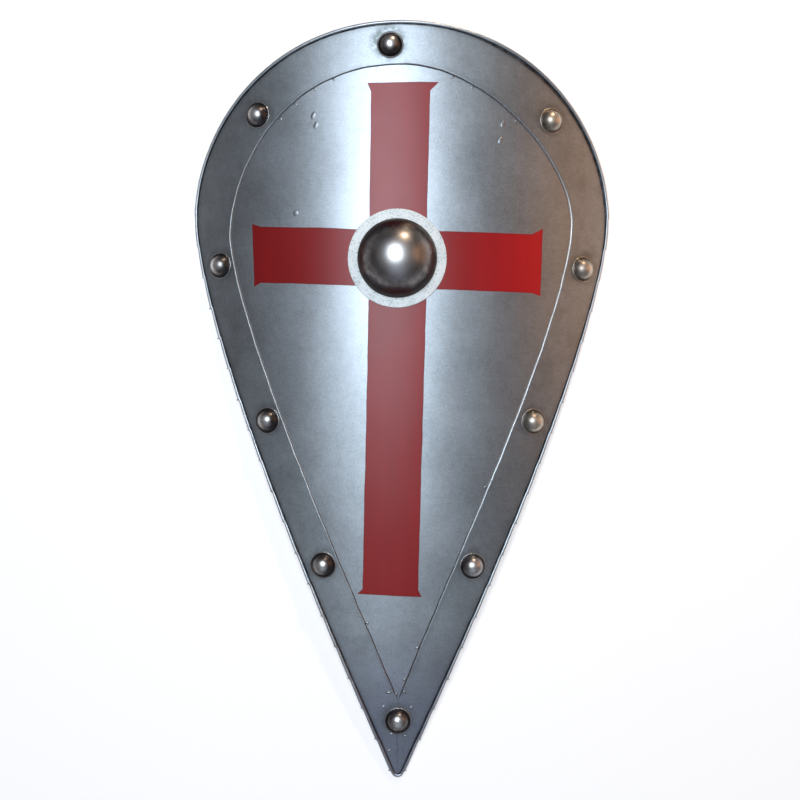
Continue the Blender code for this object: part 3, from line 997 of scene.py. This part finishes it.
def draw_boss():
    """Hollow dome whose rim is cut to the bend that it sits on."""
    outer = dome_profile(BOSS_RADIUS, BOSS_HEIGHT, 26)
    inner = dome_profile(BOSS_RADIUS - BOSS_WALL, BOSS_HEIGHT - BOSS_WALL, 12)
    rim_drop = -2.0 * BOSS_WALL
    rim = [(BOSS_RADIUS, rim_drop), (BOSS_RADIUS - BOSS_WALL, rim_drop)]
    profile = outer + rim + inner[::-1]
    # Painted shade: the dome is painted darker from near its top down to its rim, leaving the top
    # bright.
    grime = [0.57 * eased(radius, 0.18 * BOSS_RADIUS, 0.60 * BOSS_RADIUS)
             + 0.25 * eased(radius, 0.62 * BOSS_RADIUS, 0.98 * BOSS_RADIUS)
             for radius, _ in profile]
    mesh_data = lathe(profile, 96, grime)
    seat_radius = BEND_RADIUS + BOSS_SEAT
    for vert in mesh_data.verts:
        if vert.co.z < 0.5 * rim_drop:
            vert.co.z = math.sqrt(seat_radius ** 2 - vert.co.x ** 2) - seat_radius
    return mesh_data


def draw_stud():
    """Domed stud with a rolled brim, a shank, and its end clenched flat behind the plate."""
    brim = 0.5 * STUD_BRIM
    rounding = [(STUD_RADIUS - brim + brim * math.sin(a), brim + brim * math.cos(a))
                for a in (0.0, 0.45, 0.9, 1.35, 1.8, 2.25, 2.7)]
    dome = dome_profile(DOME_RADIUS - 0.0002, DOME_HEIGHT, 16, lift=0.9 * STUD_BRIM)
    profile = dome + [(DOME_RADIUS, 0.8 * STUD_BRIM)] + rounding + [
        (STUD_RADIUS - 2.0 * brim, 0.0), (SHANK_RADIUS, 0.0), (SHANK_RADIUS, -STUD_GRIP),
        (CLENCH_RADIUS - 0.0004, -STUD_GRIP), (CLENCH_RADIUS, -STUD_GRIP - 0.0004),
        (CLENCH_RADIUS, -STUD_GRIP - CLENCH_THICKNESS), (0.0, -STUD_GRIP - CLENCH_THICKNESS)]
    # Painted shade: each dome is painted darker from near its top down to its rim, darkest in the
    # crease at the brim, and dark under the brim.
    grime = [0.72 * eased(radius, 0.15 * DOME_RADIUS, 0.75 * DOME_RADIUS)
             + 0.25 * eased(radius, 0.72 * DOME_RADIUS, DOME_RADIUS) for radius, _ in dome]
    grime += [1.0] + [0.6, 0.3, 0.1, 0.1, 0.1, 0.4, 0.8] + [0.6] * 7
    return lathe(profile, 40, grime)


def draw_rivet():
    """Rivet of a strap, from its flush end at the pad's far face to its domed head."""
    dome = dome_profile(RIVET_HEAD_RADIUS, RIVET_HEAD_HEIGHT, 8)
    profile = [(0.0, RIVET_LENGTH), (RIVET_RADIUS, RIVET_LENGTH), (RIVET_RADIUS, 0.0)]
    profile += [(radius, -height) for radius, height in dome[::-1]]
    return lathe(profile, 28)


# Straps

def pad_clearance():
    back_radius = BEND_RADIUS - PLATE_THICKNESS
    half = 0.5 * PAD_WIDTH
    return PLATE_THICKNESS + SEAT_GAP + back_radius - math.sqrt(back_radius ** 2 - half ** 2)


def strap_path(span, depth, steps=40):
    """Middle line of a strap in its own Y and Z, flat on both pads and hanging between."""
    half = 0.5 * span
    ramp_start = half - STRAP_FOOT
    side = [Vector((half + STRAP_FOOT * (1.0 - step / 8.0), 0.0)) for step in range(8)]
    for step in range(steps + 1):
        t = step / steps
        side.append(Vector((ramp_start - STRAP_RAMP * t, -depth * t * t * (3.0 - 2.0 * t))))
    return [Vector((-point.x, point.y)) for point in side] + side[::-1]


def strap_frame(name):
    """Frame of a strap's middle line, at rest."""
    middle = 0.5 * (STRAP_TOP_PAD + STRAP_BOTTOM_PAD)
    below = -pad_clearance() - PAD_THICKNESS - SEAT_GAP - 0.5 * STRAP_THICKNESS
    return seat(STRAP_SIDES[name], middle, 0.0) @ Matrix.Translation((0.0, 0.0, below))


def draw_strap(name):
    """A strap of leather with rounded edges and rounded ends, in its own frame."""
    path = strap_path(STRAP_TOP_PAD - STRAP_BOTTOM_PAD, STRAP_DEPTHS[name])
    lengths = running_length(path)
    corner = 0.006
    rounding = 0.0009
    half_thickness = 0.5 * STRAP_THICKNESS
    loops = []
    section = [(math.cos(a), math.sin(a)) for a in
               [math.tau * (step + 0.5) / 16 for step in range(16)]]
    for share_x, share_z in section:
        side_x = math.copysign(1.0, share_x)
        side_z = math.copysign(1.0, share_z)
        offset = -side_z * (half_thickness - rounding) - rounding * share_z
        line = inset(path, offset, closed=False)
        loop = []
        for point, length in zip(line, lengths):
            to_end = min(length, lengths[-1] - length)
            trim = corner - math.sqrt(max(0.0, corner ** 2 - max(0.0, corner - to_end) ** 2))
            x = side_x * (0.5 * STRAP_WIDTH - rounding - trim) + rounding * share_x
            loop.append((x, point.x, point.y))
        loops.append(loop)
    return ends_closed(loft(loops, closed_loops=False, wrap=True))


def stitch_lines(name, looks):
    """Lines of stitching on the outer face of a strap, near both of its edges."""
    path = strap_path(STRAP_TOP_PAD - STRAP_BOTTOM_PAD, STRAP_DEPTHS[name])
    lower = inset(path, 0.5 * STRAP_THICKNESS, closed=False)
    frame = strap_frame(name)
    x = 0.5 * STRAP_WIDTH - looks.stitch_inset
    ends = 8
    return [[frame @ Vector((side * x, point.x, point.y)) for point in lower[ends:-ends]]
            for side in (-1.0, 1.0)]


# Materials

def new_material(name):
    material = bpy.data.materials.new(name)
    if material.name != name:
        raise RuntimeError(f"the part already has a material named {name}")
    material.use_nodes = True
    material.node_tree.nodes.clear()
    return material, Nodes(material.node_tree)


def sheet_place(nodes):
    """Where a point lies on the blank: u across, v along, and its height above the front."""
    seen = nodes.place()
    local = nodes.node("ShaderNodeMapping", {"vector_type": "TEXTURE"},
                       {"Vector": seen, "Location": PLACE, "Rotation": (TILT, 0.0, 0.0)})
    x, v, z = nodes.split(local)
    deep = z + BEND_RADIUS
    u = x.math("ARCTAN2", deep) * BEND_RADIUS
    return u, v, nodes.distance(x, deep) - BEND_RADIUS


def shaded(nodes, material, sockets, bump=None):
    """Ends a material in one shader, with an optional bump as (height, distance, strength)."""
    if bump:
        height, distance, strength = bump
        sockets["Normal"] = nodes.node("ShaderNodeBump", inputs={
            "Height": height, "Distance": distance, "Strength": strength})
    shader = nodes.node("ShaderNodeBsdfPrincipled", inputs=sockets)
    nodes.node("ShaderNodeOutputMaterial", inputs={"Surface": shader})
    return material


def arm_distance(arm, along, across_it):
    """How deep a point lies inside one arm of the cross, negative outside it."""
    def side(places):
        (near_at, near), (neck_at, neck), (tip_at, tip) = places
        run = along.ramp(near_at, neck_at) * (neck - near) + near
        return run + along.ramp(neck_at, tip_at) * (tip - neck)

    low_at, low_tip = arm["low"][2]
    high_at, high_tip = arm["high"][2]
    end = across_it.ramp(low_tip, high_tip) * (high_at - low_at) + low_at
    inside = (side(arm["high"]) - across_it).least(across_it - side(arm["low"]))
    return inside.least(end - along).least(along)


def cross_distance(nodes, u, v, wobble):
    """How deep a point lies inside the painted cross, in metres."""
    flat = nodes.joined(u, v, 0.0)
    wave = (nodes.noise(flat, 32.0, detail=3.0) - 0.5) * (2.0 * wobble)
    other = (nodes.noise((v, u, 0.7), 27.0, detail=3.0) - 0.5) * (2.0 * wobble)
    u = u + wave
    v = v + other
    arms = {"up": (v, u), "down": (-v, u), "left": (-u, v), "right": (u, v)}
    depth = None
    for name, (along, across_it) in arms.items():
        one = arm_distance(CROSS_ARMS[name], along, across_it)
        depth = one if depth is None else depth.most(one)
    return depth


def with_painted_shade_and_wear(nodes, u, v, colour, share=1.0):
    """A colour under the painted shade and the wear that the mesh carries at its edges, broken up in
    patches.
    """
    shade_wear = nodes.grime()
    patches = nodes.noise((u, v, 9.0), 70.0, detail=4.0, roughness=0.65).ramp(0.30, 0.62)
    broken = shade_wear * (patches * 0.45 + 0.55) * share
    rubbed = nodes.mixed(broken.ramp(0.0, -1.0), colour, RUBBED_BRIGHT)
    return nodes.mixed(broken.ramp(0.0, 1.0), rubbed, PAINTED_SHADE)


def stud_halo(nodes, u, v):
    """Rises to 1 on the smoky patch round each stud."""
    flat = nodes.joined(u, v, 0.0)
    nearest = None
    for stud_u, stud_v in stud_places()[1:]:
        place = (stud_u, stud_v + 0.002, 0.0)
        away = nodes.node("ShaderNodeVectorMath", {"operation": "DISTANCE"}, [flat, place], output=1)
        nearest = away if nearest is None else nearest.least(away)
    smoke = nodes.noise((u, v, 2.0), 110.0, detail=4.0)
    return 1.0 - (nearest + (smoke - 0.5) * 0.014).ramp(0.0150, 0.0225)


def near_top_stud(nodes, u, v, inside, outside):
    """Rises to 1 on the sooty smudge round the top stud."""
    away = nodes.distance(u - TOP_STUD[0] + 0.002, v - TOP_STUD[1] - 0.003)
    return 1.0 - away.ramp(inside, outside)


def steel_tones(nodes, u, v, colour):
    """Cloudy, mottled and finely speckled tone of satin steel, tinted towards the point."""
    flat = nodes.joined(u, v, 0.0)
    clouds = nodes.noise(flat, 14.0, detail=5.0, roughness=0.6)
    mottle = nodes.noise((u, v, 1.0), 120.0, detail=3.0, roughness=0.6)
    speckle = nodes.noise(flat, 430.0, detail=2.0, roughness=0.7)
    streaks = nodes.noise((u * 90.0, v * 900.0, 0.0), 1.0, detail=3.0)
    tone = (clouds - 0.5) * 0.5 + (mottle - 0.5) * 0.34 + (speckle - 0.5) * 0.60
    tone = tone + (streaks - 0.5) * 0.14 + 1.0
    toned = nodes.times(colour, tone)
    near_point = v.ramp(-0.42, -0.52) * (mottle.ramp(0.35, 0.60) * 0.4 + 0.6)
    toned = nodes.times(toned, POINT_TINT, near_point)
    return toned, clouds, speckle, streaks


def face_steel(looks, paint):
    """Satin steel of the plate, with the cross painted on its front."""
    material, nodes = new_material("face_steel")
    u, v, height = sheet_place(nodes)
    toned, clouds, speckle, streaks = steel_tones(nodes, u, v, looks.face_colour)
    front = height.ramp(-0.0007, -0.0004)
    back_tone = nodes.mixed(clouds.ramp(0.40, 0.66), (0.20, 0.205, 0.21), (0.31, 0.31, 0.31))
    rust = nodes.noise((u, v, 3.0), 46.0, detail=6.0, roughness=0.72).ramp(0.60, 0.72)
    back_tone = nodes.mixed(rust * 0.5, back_tone, (0.13, 0.07, 0.04))
    steel = nodes.mixed(front, back_tone, toned)
    depth = cross_distance(nodes, u, v, paint.wobble)
    painted = depth.ramp(-0.5 * paint.softness, 0.5 * paint.softness) * front
    rim = (1.0 - (depth - 0.0004).size().ramp(0.0, 0.0011)) * front
    brush = nodes.noise((u * 60.0, v * 9.0, 0.0), 1.0, detail=3.0)
    grain = nodes.noise((u, v, 4.0), 500.0, detail=2.0)
    # The paint grows brighter to the right, fitted to the photograph
    # Painted light: the red is painted darker on the left arm and brighter on the right, where the
    # warm light falls; brush strokes and grain are the paint's own.
    strength = u.ramp(-0.17, -0.04) * 0.22 + u.ramp(0.05, 0.16) * 0.72 + 0.80
    strength = strength + (brush - 0.5) * 0.35 + (grain - 0.5) * 0.25
    red = nodes.times(paint.colour, strength)
    red = nodes.mixed(rim * 0.45, red, (0.10, 0.02, 0.02))
    colour = with_painted_shade_and_wear(nodes, u, v, nodes.mixed(painted, steel, red))
    bare_rough = looks.roughness + (speckle - 0.5) * 0.10 + (clouds - 0.5) * 0.08
    rough = bare_rough * (1.0 - painted) + painted * (0.34 + (clouds - 0.5) * 0.10)
    bump = speckle * 0.5 + streaks * 0.5
    return shaded(nodes, material, {
        "Base Color": colour,
        "Roughness": rough + (1.0 - front) * 0.12,
        "Metallic": 1.0 - painted,
        "Specular IOR Level": 0.62,
    }, (bump, 0.00005, 0.35))


def border_steel(looks):
    """Satin steel of the band, with smoky patches and painted shade along its edges."""
    material, nodes = new_material("border_steel")
    u, v, height = sheet_place(nodes)
    toned, clouds, speckle, streaks = steel_tones(nodes, u, v, looks.band_colour)
    smoke = nodes.noise((u, v, 5.0), 38.0, detail=4.0).ramp(0.50, 0.78)
    smoke = smoke * 0.25 + stud_halo(nodes, u, v) * 0.40
    colour = nodes.mixed(smoke, toned, (0.17, 0.17, 0.175))
    soot_and_painted_shade = nodes.noise((u, v, 0.0), 160.0, detail=4.0).ramp(0.30, 0.55)
    soot_and_painted_shade = soot_and_painted_shade * near_top_stud(nodes, u, v, 0.016, 0.024)
    colour = nodes.mixed(soot_and_painted_shade * 0.75, colour, (0.10, 0.12, 0.105))
    worn = 1.0 - height.ramp(0.0010, 0.0018)
    colour = nodes.mixed(worn * 0.9, colour, (0.54, 0.44, 0.37))
    colour = with_painted_shade_and_wear(nodes, u, v, colour, 0.8)
    rough = looks.roughness + 0.01 + (speckle - 0.5) * 0.10 + (clouds - 0.5) * 0.10
    return shaded(nodes, material, {
        "Base Color": colour, "Roughness": rough, "Metallic": 1.0,
    }, (speckle * 0.5 + streaks * 0.5, 0.00005, 0.35))


def brushed_ring(looks):
    """Bright ring, brushed round and round."""
    material, nodes = new_material("brushed_ring")
    u, v, _ = sheet_place(nodes)
    du = u - BOSS_AT[0]
    dv = v - BOSS_AT[1]
    radius = nodes.distance(du, dv)
    turn = dv.math("ARCTAN2", du)
    brushed = nodes.noise((radius * 1500.0, turn * 6.0, 0.0), 1.0, detail=3.0)
    clouds = nodes.noise((u, v, 0.0), 60.0, detail=4.0)
    pits = nodes.noise((u, v, 3.0), 420.0, detail=3.0).ramp(0.54, 0.70)
    tone = (brushed - 0.5) * 0.50 + (clouds - 0.5) * 0.95 - pits * 0.45 + 1.0
    colour = nodes.times(looks.ring_colour, tone)
    return shaded(nodes, material, {
        "Base Color": colour, "Roughness": 0.52 + (clouds - 0.5) * 0.12, "Metallic": 0.25,
    }, (brushed, 0.00004, 0.3))


def rubbed_steel(looks):
    """Steel of boss, studs and rivets: bright on top, painted darker below as shade with brown patina
    over it, and painted lighter and straw to the right as warm light.
    """
    material, nodes = new_material("rubbed_steel")
    place = nodes.place()
    u, v, _ = sheet_place(nodes)
    patina = nodes.noise(place, 55.0, detail=5.0, roughness=0.6)
    grain = nodes.noise(place, 900.0, detail=2.0)
    shade_wear = nodes.grime()
    # Painted shade with brown patina: darker from near the top down to the rim; towards the right the
    # dark is lessened as painted warm light.
    patina_and_painted_shade = (shade_wear * (patina * 1.4 + 0.5) * (1.15 - u.ramp(-0.045, 0.15) * 0.50)).ramp(0.0, 0.95)
    colour = nodes.mixed(patina_and_painted_shade, looks.rubbed_colour, looks.dark_colour)
    low = near_top_stud(nodes, u, v, 0.018, 0.022) * (1.0 - near_top_stud(nodes, u, v, 0.009, 0.012))
    colour = nodes.mixed(low * 0.8, colour, (0.05, 0.045, 0.045))
    tone = (grain - 0.5) * 0.25 + 1.0
    colour = nodes.times(colour, tone)
    # Painted warm light: studs on the right are tinted straw.
    on_right = u.ramp(0.09, 0.17)
    colour = nodes.times(colour, RIGHT_STUDS_PAINTED_WARM_LIGHT, on_right * 0.6)
    return shaded(nodes, material, {
        "Base Color": colour,
        "Roughness": (patina - 0.5) * 0.08 + on_right * 0.06 + 0.34,
        "Metallic": 1.0,
        "Specular Tint": (0.45, 0.42, 0.40, 1.0),
    }, (grain, 0.00003, 0.3))


def weld_steel():
    """Lumps of weld metal, a little brighter than the sheet."""
    material, nodes = new_material("weld_steel")
    place = nodes.place()
    mottle = nodes.noise(place, 700.0, detail=3.0)
    colour = nodes.mixed(mottle.ramp(0.35, 0.65), (0.36, 0.39, 0.42), (0.52, 0.56, 0.59))
    return shaded(nodes, material, {
        "Base Color": colour, "Roughness": 0.38 + mottle * 0.10, "Metallic": 1.0,
    }, (mottle, 0.0001, 0.3))


def hem_burr():
    """Dark burrs where one tab of the hem ends."""
    material, nodes = new_material("hem_burr")
    place = nodes.place()
    mottle = nodes.noise(place, 900.0, detail=2.0)
    colour = nodes.mixed(mottle, (0.05, 0.055, 0.06), (0.16, 0.17, 0.18))
    return shaded(nodes, material, {"Base Color": colour, "Roughness": 0.5, "Metallic": 1.0})


def mill_steel():
    """Mill finish of the pads behind, with heat colours from their welds."""
    material, nodes = new_material("mill_steel")
    place = nodes.place()
    scale = nodes.noise(place, 120.0, detail=5.0)
    heat = nodes.noise(place, 45.0, detail=2.0).ramp(0.45, 0.65)
    colour = nodes.mixed(scale.ramp(0.35, 0.7), (0.22, 0.225, 0.235), (0.38, 0.385, 0.39))
    colour = nodes.mixed(heat * 0.4, colour, (0.20, 0.14, 0.11))
    return shaded(nodes, material, {
        "Base Color": colour, "Roughness": 0.42 + scale * 0.15, "Metallic": 1.0,
    }, (scale, 0.0001, 0.3))


def saddle_leather(looks):
    """Dark brown leather with pores, creases and paler rubbed patches."""
    material, nodes = new_material("saddle_leather")
    place = nodes.place()
    pores = nodes.node("ShaderNodeTexVoronoi", {"feature": "SMOOTH_F1"},
                       {"Vector": place, "Scale": 950.0})
    creases = nodes.noise(place, 130.0, detail=5.0, roughness=0.65)
    rubbed = nodes.noise(place, 38.0, detail=3.0).ramp(0.48, 0.72)
    paler = [min(1.0, 2.3 * value) for value in looks.colour]
    colour = nodes.mixed(rubbed * 0.5, looks.colour, paler)
    tone = (creases - 0.5) * 0.6 + (pores - 0.4) * 0.35 + 1.0
    colour = nodes.times(colour, tone)
    return shaded(nodes, material, {
        "Base Color": colour, "Roughness": 0.52 + (creases - 0.5) * 0.25, "Metallic": 0.0,
    }, (pores * 0.5 + creases * 0.5, 0.0004, 0.5))


def waxed_thread():
    material, nodes = new_material("waxed_thread")
    place = nodes.place()
    fibre = nodes.noise(place, 2200.0, detail=2.0)
    colour = nodes.mixed(fibre, (0.30, 0.25, 0.17), (0.48, 0.41, 0.30))
    return shaded(nodes, material, {"Base Color": colour, "Roughness": 0.6, "Metallic": 0.0})


def floor_paint(looks):
    material, nodes = new_material("floor_paint")
    place = nodes.place()
    faint = nodes.noise(place, 3.0, detail=2.0)
    tone = (faint - 0.5) * 0.02 + 1.0
    colour = nodes.times(looks.floor_colour, tone)
    return shaded(nodes, material, {
        "Base Color": colour, "Roughness": 0.8, "Metallic": 0.0,
        "Emission Color": colour, "Emission Strength": looks.floor_glow,
    })


# Operators

class SHIELD_OT_materials(bpy.types.Operator):
    """Make the node trees and every finish of the shield"""
    bl_idname = "shield.materials"
    bl_label = "Finishes"

    def execute(self, context):
        scene = context.scene
        build_trees()
        face_steel(scene.shield_steel, scene.shield_paint)
        border_steel(scene.shield_steel)
        brushed_ring(scene.shield_steel)
        rubbed_steel(scene.shield_steel)
        weld_steel()
        hem_burr()
        mill_steel()
        saddle_leather(scene.shield_straps)
        waxed_thread()
        return {"FINISHED"}


class SHIELD_OT_face(bpy.types.Operator):
    """Make the face plate with its rolled hem"""
    bl_idname = "shield.face"
    bl_label = "Face plate"

    def execute(self, context):
        scene = context.scene
        values = sheet_values(scene.shield_steel)
        face = bent_sheet("shield_face", draw_plate(scene.shield_edge), "face_steel", values)
        burrs = self.burrs(scene.shield_edge, values)
        face = merged("shield_face", [face, burrs])
        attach(face, "root")
        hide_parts("face_plate")
        return {"FINISHED"}

    def burrs(self, looks, values):
        """Small burrs that stand out where a tab ends, mostly on the left flank."""
        half = outline_half()
        lengths = running_length(half)
        places = []
        for before, after, start, end in zip(half, half[1:], lengths, lengths[1:]):
            if int(tabs_before(looks, start)) == int(tabs_before(looks, end)) or before.y > -0.01:
                continue
            along = (after - before).normalized()
            left_reach = 0.0016 if -0.17 < before.y < -0.03 else 0.0010
            for side, reach in ((-1.0, left_reach), (1.0, 0.0009)):
                turn = math.atan2(along.y, side * along.x)
                places.append((side * before.x, before.y, 0.0009, turn, (0.0009, reach, 0.0012)))
        return placed("hem_burrs", places, blob("burr_shape", detail=1), "hem_burr", values,
                      spread=0.18, seed=4)


class SHIELD_OT_band(bpy.types.Operator):
    """Make the border band and the weld marks beside it"""
    bl_idname = "shield.band"
    bl_label = "Border band"

    def execute(self, context):
        scene = context.scene
        values = sheet_values(scene.shield_steel)
        band = bent_sheet("band_of_the_border", draw_band(scene.shield_edge), "border_steel", values)
        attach(band, "root")
        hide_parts("border_band")
        marks = self.weld_marks(values)
        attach(marks, "root")
        return {"FINISHED"}

    def weld_marks(self, values):
        """Tacks along the inner line, blobs at its V, and the dimples of the welded pads."""
        places = []
        top = SEAT_GAP + BAND_THICKNESS
        inward = 0.0024
        for side, line, tacks in ((-1.0, LINE_LEFT, LEFT_TACKS), (1.0, LINE_RIGHT, RIGHT_TACKS)):
            curve = inner_line(line)
            for v in tacks:
                u = side * (across(curve, v) - inward)
                places.append((u, v - 0.5 * inward, 0.0, 0.6 * side, (0.0021, 0.0013, 0.0006)))
        for u, v, half_length in POINT_BLOBS:
            places.append((u, v, 0.5 * top, 0.0, (half_length, 0.0018, 0.0020)))
        for u, v in STUD_SPECKS:
            places.append((u, v, top, 0.3, (0.0020, 0.0012, 0.0005)))
        for u, v, half_length, half_width in SHEET_DIMPLES:
            places.append((u, v, -0.0002, 1.2, (half_length, half_width, 0.0007)))
        return placed("weld_marks", places, blob("mark_shape", detail=3), "weld_steel", values,
                      spread=0.15, seed=11)


class SHIELD_OT_boss(bpy.types.Operator):
    """Make the boss and the bright ring under it"""
    bl_idname = "shield.boss"
    bl_label = "Boss and ring"

    def execute(self, context):
        steel = context.scene.shield_steel
        ring = bent_sheet("bright_ring", draw_ring(), "brushed_ring", sheet_values(steel))
        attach(ring, "root")
        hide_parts("boss_ring")
        mesh_data = draw_boss()
        mesh_data.transform(seat(*BOSS_AT, BOSS_SEAT))
        boss = smoothed(plain_object("boss_dome", mesh_data))
        boss.data.materials.append(bpy.data.materials["rubbed_steel"])
        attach(boss, "root")
        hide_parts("boss")
        return {"FINISHED"}


class SHIELD_OT_studs(bpy.types.Operator):
    """Make the ten studs of the band"""
    bl_idname = "shield.studs"
    bl_label = "Studs"

    def execute(self, context):
        values = sheet_values(context.scene.shield_steel)
        places = [(u, v, STUD_SEAT, 0.6 * number, (1.0, 1.0, 1.0))
                  for number, (u, v) in enumerate(stud_places())]
        studs = placed("band_studs", places, plain_object("stud_shape", draw_stud()), "rubbed_steel",
                       values)
        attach(studs, "root")
        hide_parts(*[f"stud_{number:02d}" for number in range(1, len(places) + 1)])
        return {"FINISHED"}


class SHIELD_OT_straps(bpy.types.Operator):
    """Make the two straps with their stitching, rivets and welded pads"""
    bl_idname = "shield.straps"
    bl_label = "Straps"

    def execute(self, context):
        looks = context.scene.shield_straps
        for name in STRAP_SIDES:
            self.strap(name, looks)
        self.rivets(context)
        self.pads(context)
        return {"FINISHED"}

    def strap(self, name, looks):
        mesh_data = draw_strap(name)
        mesh_data.transform(strap_frame(name))
        strap = plain_object(f"{name}_leather", mesh_data)
        strap.data.materials.append(bpy.data.materials["saddle_leather"])
        stitch = blob("stitch_shape", 0.0016, 0.00045, 0.00035, detail=1)
        lines = lines_object("stitches", stitch_lines(name, looks))
        up = REST.to_3x3() @ Vector((0.0, 0.0, -1.0))
        stitches = made_by("Row in space", lines, {
            "Material": bpy.data.materials["waxed_thread"], "Shape": stitch, "Up": up,
            "Pitch": looks.stitch_pitch, "Size spread": 0.08, "Seed": 7}, helpers=[stitch])
        strap = merged(f"{name}_leather", [smoothed(strap), stitches])
        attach(strap, "root")
        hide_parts(name)

    def rivets(self, context):
        height = -pad_clearance() - RIVET_LENGTH
        places = [(side, v, height, 0.0, (1.0, 1.0, 1.0)) for side in STRAP_SIDES.values()
                  for v in (STRAP_TOP_PAD, STRAP_BOTTOM_PAD)]
        rivets = placed("strap_rivets", places, plain_object("rivet_shape", draw_rivet()),
                        "rubbed_steel", sheet_values(context.scene.shield_steel))
        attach(rivets, "root")
        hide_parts(*[f"{name}_rivet_{place}" for name in STRAP_SIDES
                              for place in ("top", "bottom")])

    def pads(self, context):
        """The pads keep their solids; a bead of weld runs along both long sides of each."""
        lines = []
        half = 0.5 * PAD_WIDTH - 0.003
        height = -0.0022
        for name, side in STRAP_SIDES.items():
            for place, v in (("top", STRAP_TOP_PAD), ("bottom", STRAP_BOTTOM_PAD)):
                node = FRAME["nodes"][f"{name}_pad_{place}"]
                node.data.materials.clear()
                node.data.materials.append(bpy.data.materials["mill_steel"])
                for end in (-1.0, 1.0):
                    at = v + end * (0.5 * PAD_LENGTH + 0.0004)
                    lines.append([(side - half, at, height), (side + half, at, height)])
        rows = lines_object("pad_welds", lines)
        bead = blob("bead_shape", 0.0016, 0.0015, 0.0012, detail=2)
        beads = made_by("Row on sheet", rows, {
            **sheet_values(context.scene.shield_steel), "Material": bpy.data.materials["weld_steel"],
            "Shape": bead, "Up": (0.0, 0.0, 1.0), "Pitch": 0.0019, "Size spread": 0.15,
            "Seed": 3}, helpers=[bead])
        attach(beads, "root")


class SHIELD_OT_stage(bpy.types.Operator):
    """Make the floor, the lights and the camera"""
    bl_idname = "shield.stage"
    bl_label = "Stage"

    def execute(self, context):
        looks = context.scene.shield_stage
        self.floor(looks)
        self.surroundings(context.scene, looks)
        for name in LIGHTS:
            self.light(name, looks)
        self.camera(context.scene)
        return {"FINISHED"}

    def floor(self, looks):
        mesh_data = bmesh.new()
        bmesh.ops.create_grid(mesh_data, x_segments=1, y_segments=1, size=6.0)
        for vert in mesh_data.verts:
            vert.co.z = -0.0003
        floor = plain_object("floor", mesh_data)
        floor.data.materials.append(floor_paint(looks))

    def surroundings(self, scene, looks):
        world = bpy.data.worlds.new("studio")
        world.use_nodes = True
        background = world.node_tree.nodes["Background"]
        background.inputs["Color"].default_value = (1.0, 0.93, 0.98, 1.0)
        background.inputs["Strength"].default_value = looks.world_strength
        scene.world = world
        scene.view_settings.view_transform = "Standard"

    def light(self, name, looks):
        """A soft oval light, placed and aimed in the shield's own frame."""
        place, size, colour, power = LIGHTS[name]
        data = bpy.data.lights.new(name, "AREA")
        data.shape = "ELLIPSE"
        data.size, data.size_y = size
        data.energy = getattr(looks, power)
        data.color = colour
        light = bpy.data.objects.new(name, data)
        place = REST @ Vector(place)
        turn = (REST @ Vector(LIGHTS_AIM) - place).to_track_quat("-Z", "Y")
        light.matrix_world = Matrix.Translation(place) @ turn.to_matrix().to_4x4()
        bpy.context.scene.collection.objects.link(light)

    def camera(self, scene):
        """Looks square at the crest, as the photograph does, with the shield leaning a little."""
        data = bpy.data.cameras.new("camera")
        data.sensor_width = SENSOR_WIDTH
        data.lens = SENSOR_WIDTH * CAMERA_DISTANCE / IMAGE_WIDTH_ON_CREST
        camera = bpy.data.objects.new("camera", data)
        scene.collection.objects.link(camera)
        lean = Matrix.Rotation(SHIELD_LEAN, 4, "Z")
        offset = lean @ Vector((-SHIELD_SHIFT, -BOSS_ABOVE_CENTRE, CAMERA_DISTANCE))
        camera.matrix_world = REST @ Matrix.Translation(offset) @ lean
        scene.camera = camera


OPERATORS = (
    SHIELD_OT_materials,
    SHIELD_OT_face,
    SHIELD_OT_band,
    SHIELD_OT_boss,
    SHIELD_OT_studs,
    SHIELD_OT_straps,
    SHIELD_OT_stage,
)


class SHIELD_PT_panel(bpy.types.Panel):
    """Lists the steps that dress the shield"""
    bl_idname = "SHIELD_PT_panel"
    bl_label = "Shield"
    bl_space_type = "VIEW_3D"
    bl_region_type = "UI"
    bl_category = "Shield"

    def draw(self, context):
        for name in GROUPS:
            group = getattr(context.scene, name)
            box = self.layout.box()
            for key in group.bl_rna.properties.keys():
                if key not in ("rna_type", "name"):
                    box.prop(group, key)
        for operator in OPERATORS:
            self.layout.operator(operator.bl_idname)


GROUPS = {
    "shield_steel": SteelLooks,
    "shield_paint": PaintLooks,
    "shield_edge": EdgeLooks,
    "shield_straps": StrapLooks,
    "shield_stage": StageLooks,
}


def register():
    for name, group in GROUPS.items():
        bpy.utils.register_class(group)
        setattr(bpy.types.Scene, name, bpy.props.PointerProperty(type=group))
    for item in (*OPERATORS, SHIELD_PT_panel):
        bpy.utils.register_class(item)


def unregister():
    for item in reversed((*OPERATORS, SHIELD_PT_panel)):
        bpy.utils.unregister_class(item)
    for name, group in GROUPS.items():
        delattr(bpy.types.Scene, name)
        bpy.utils.unregister_class(group)


def main():
    register()
    for operator in OPERATORS:
        area, name = operator.bl_idname.split(".")
        getattr(getattr(bpy.ops, area), name)()


if __name__ == "__main__":
    main()
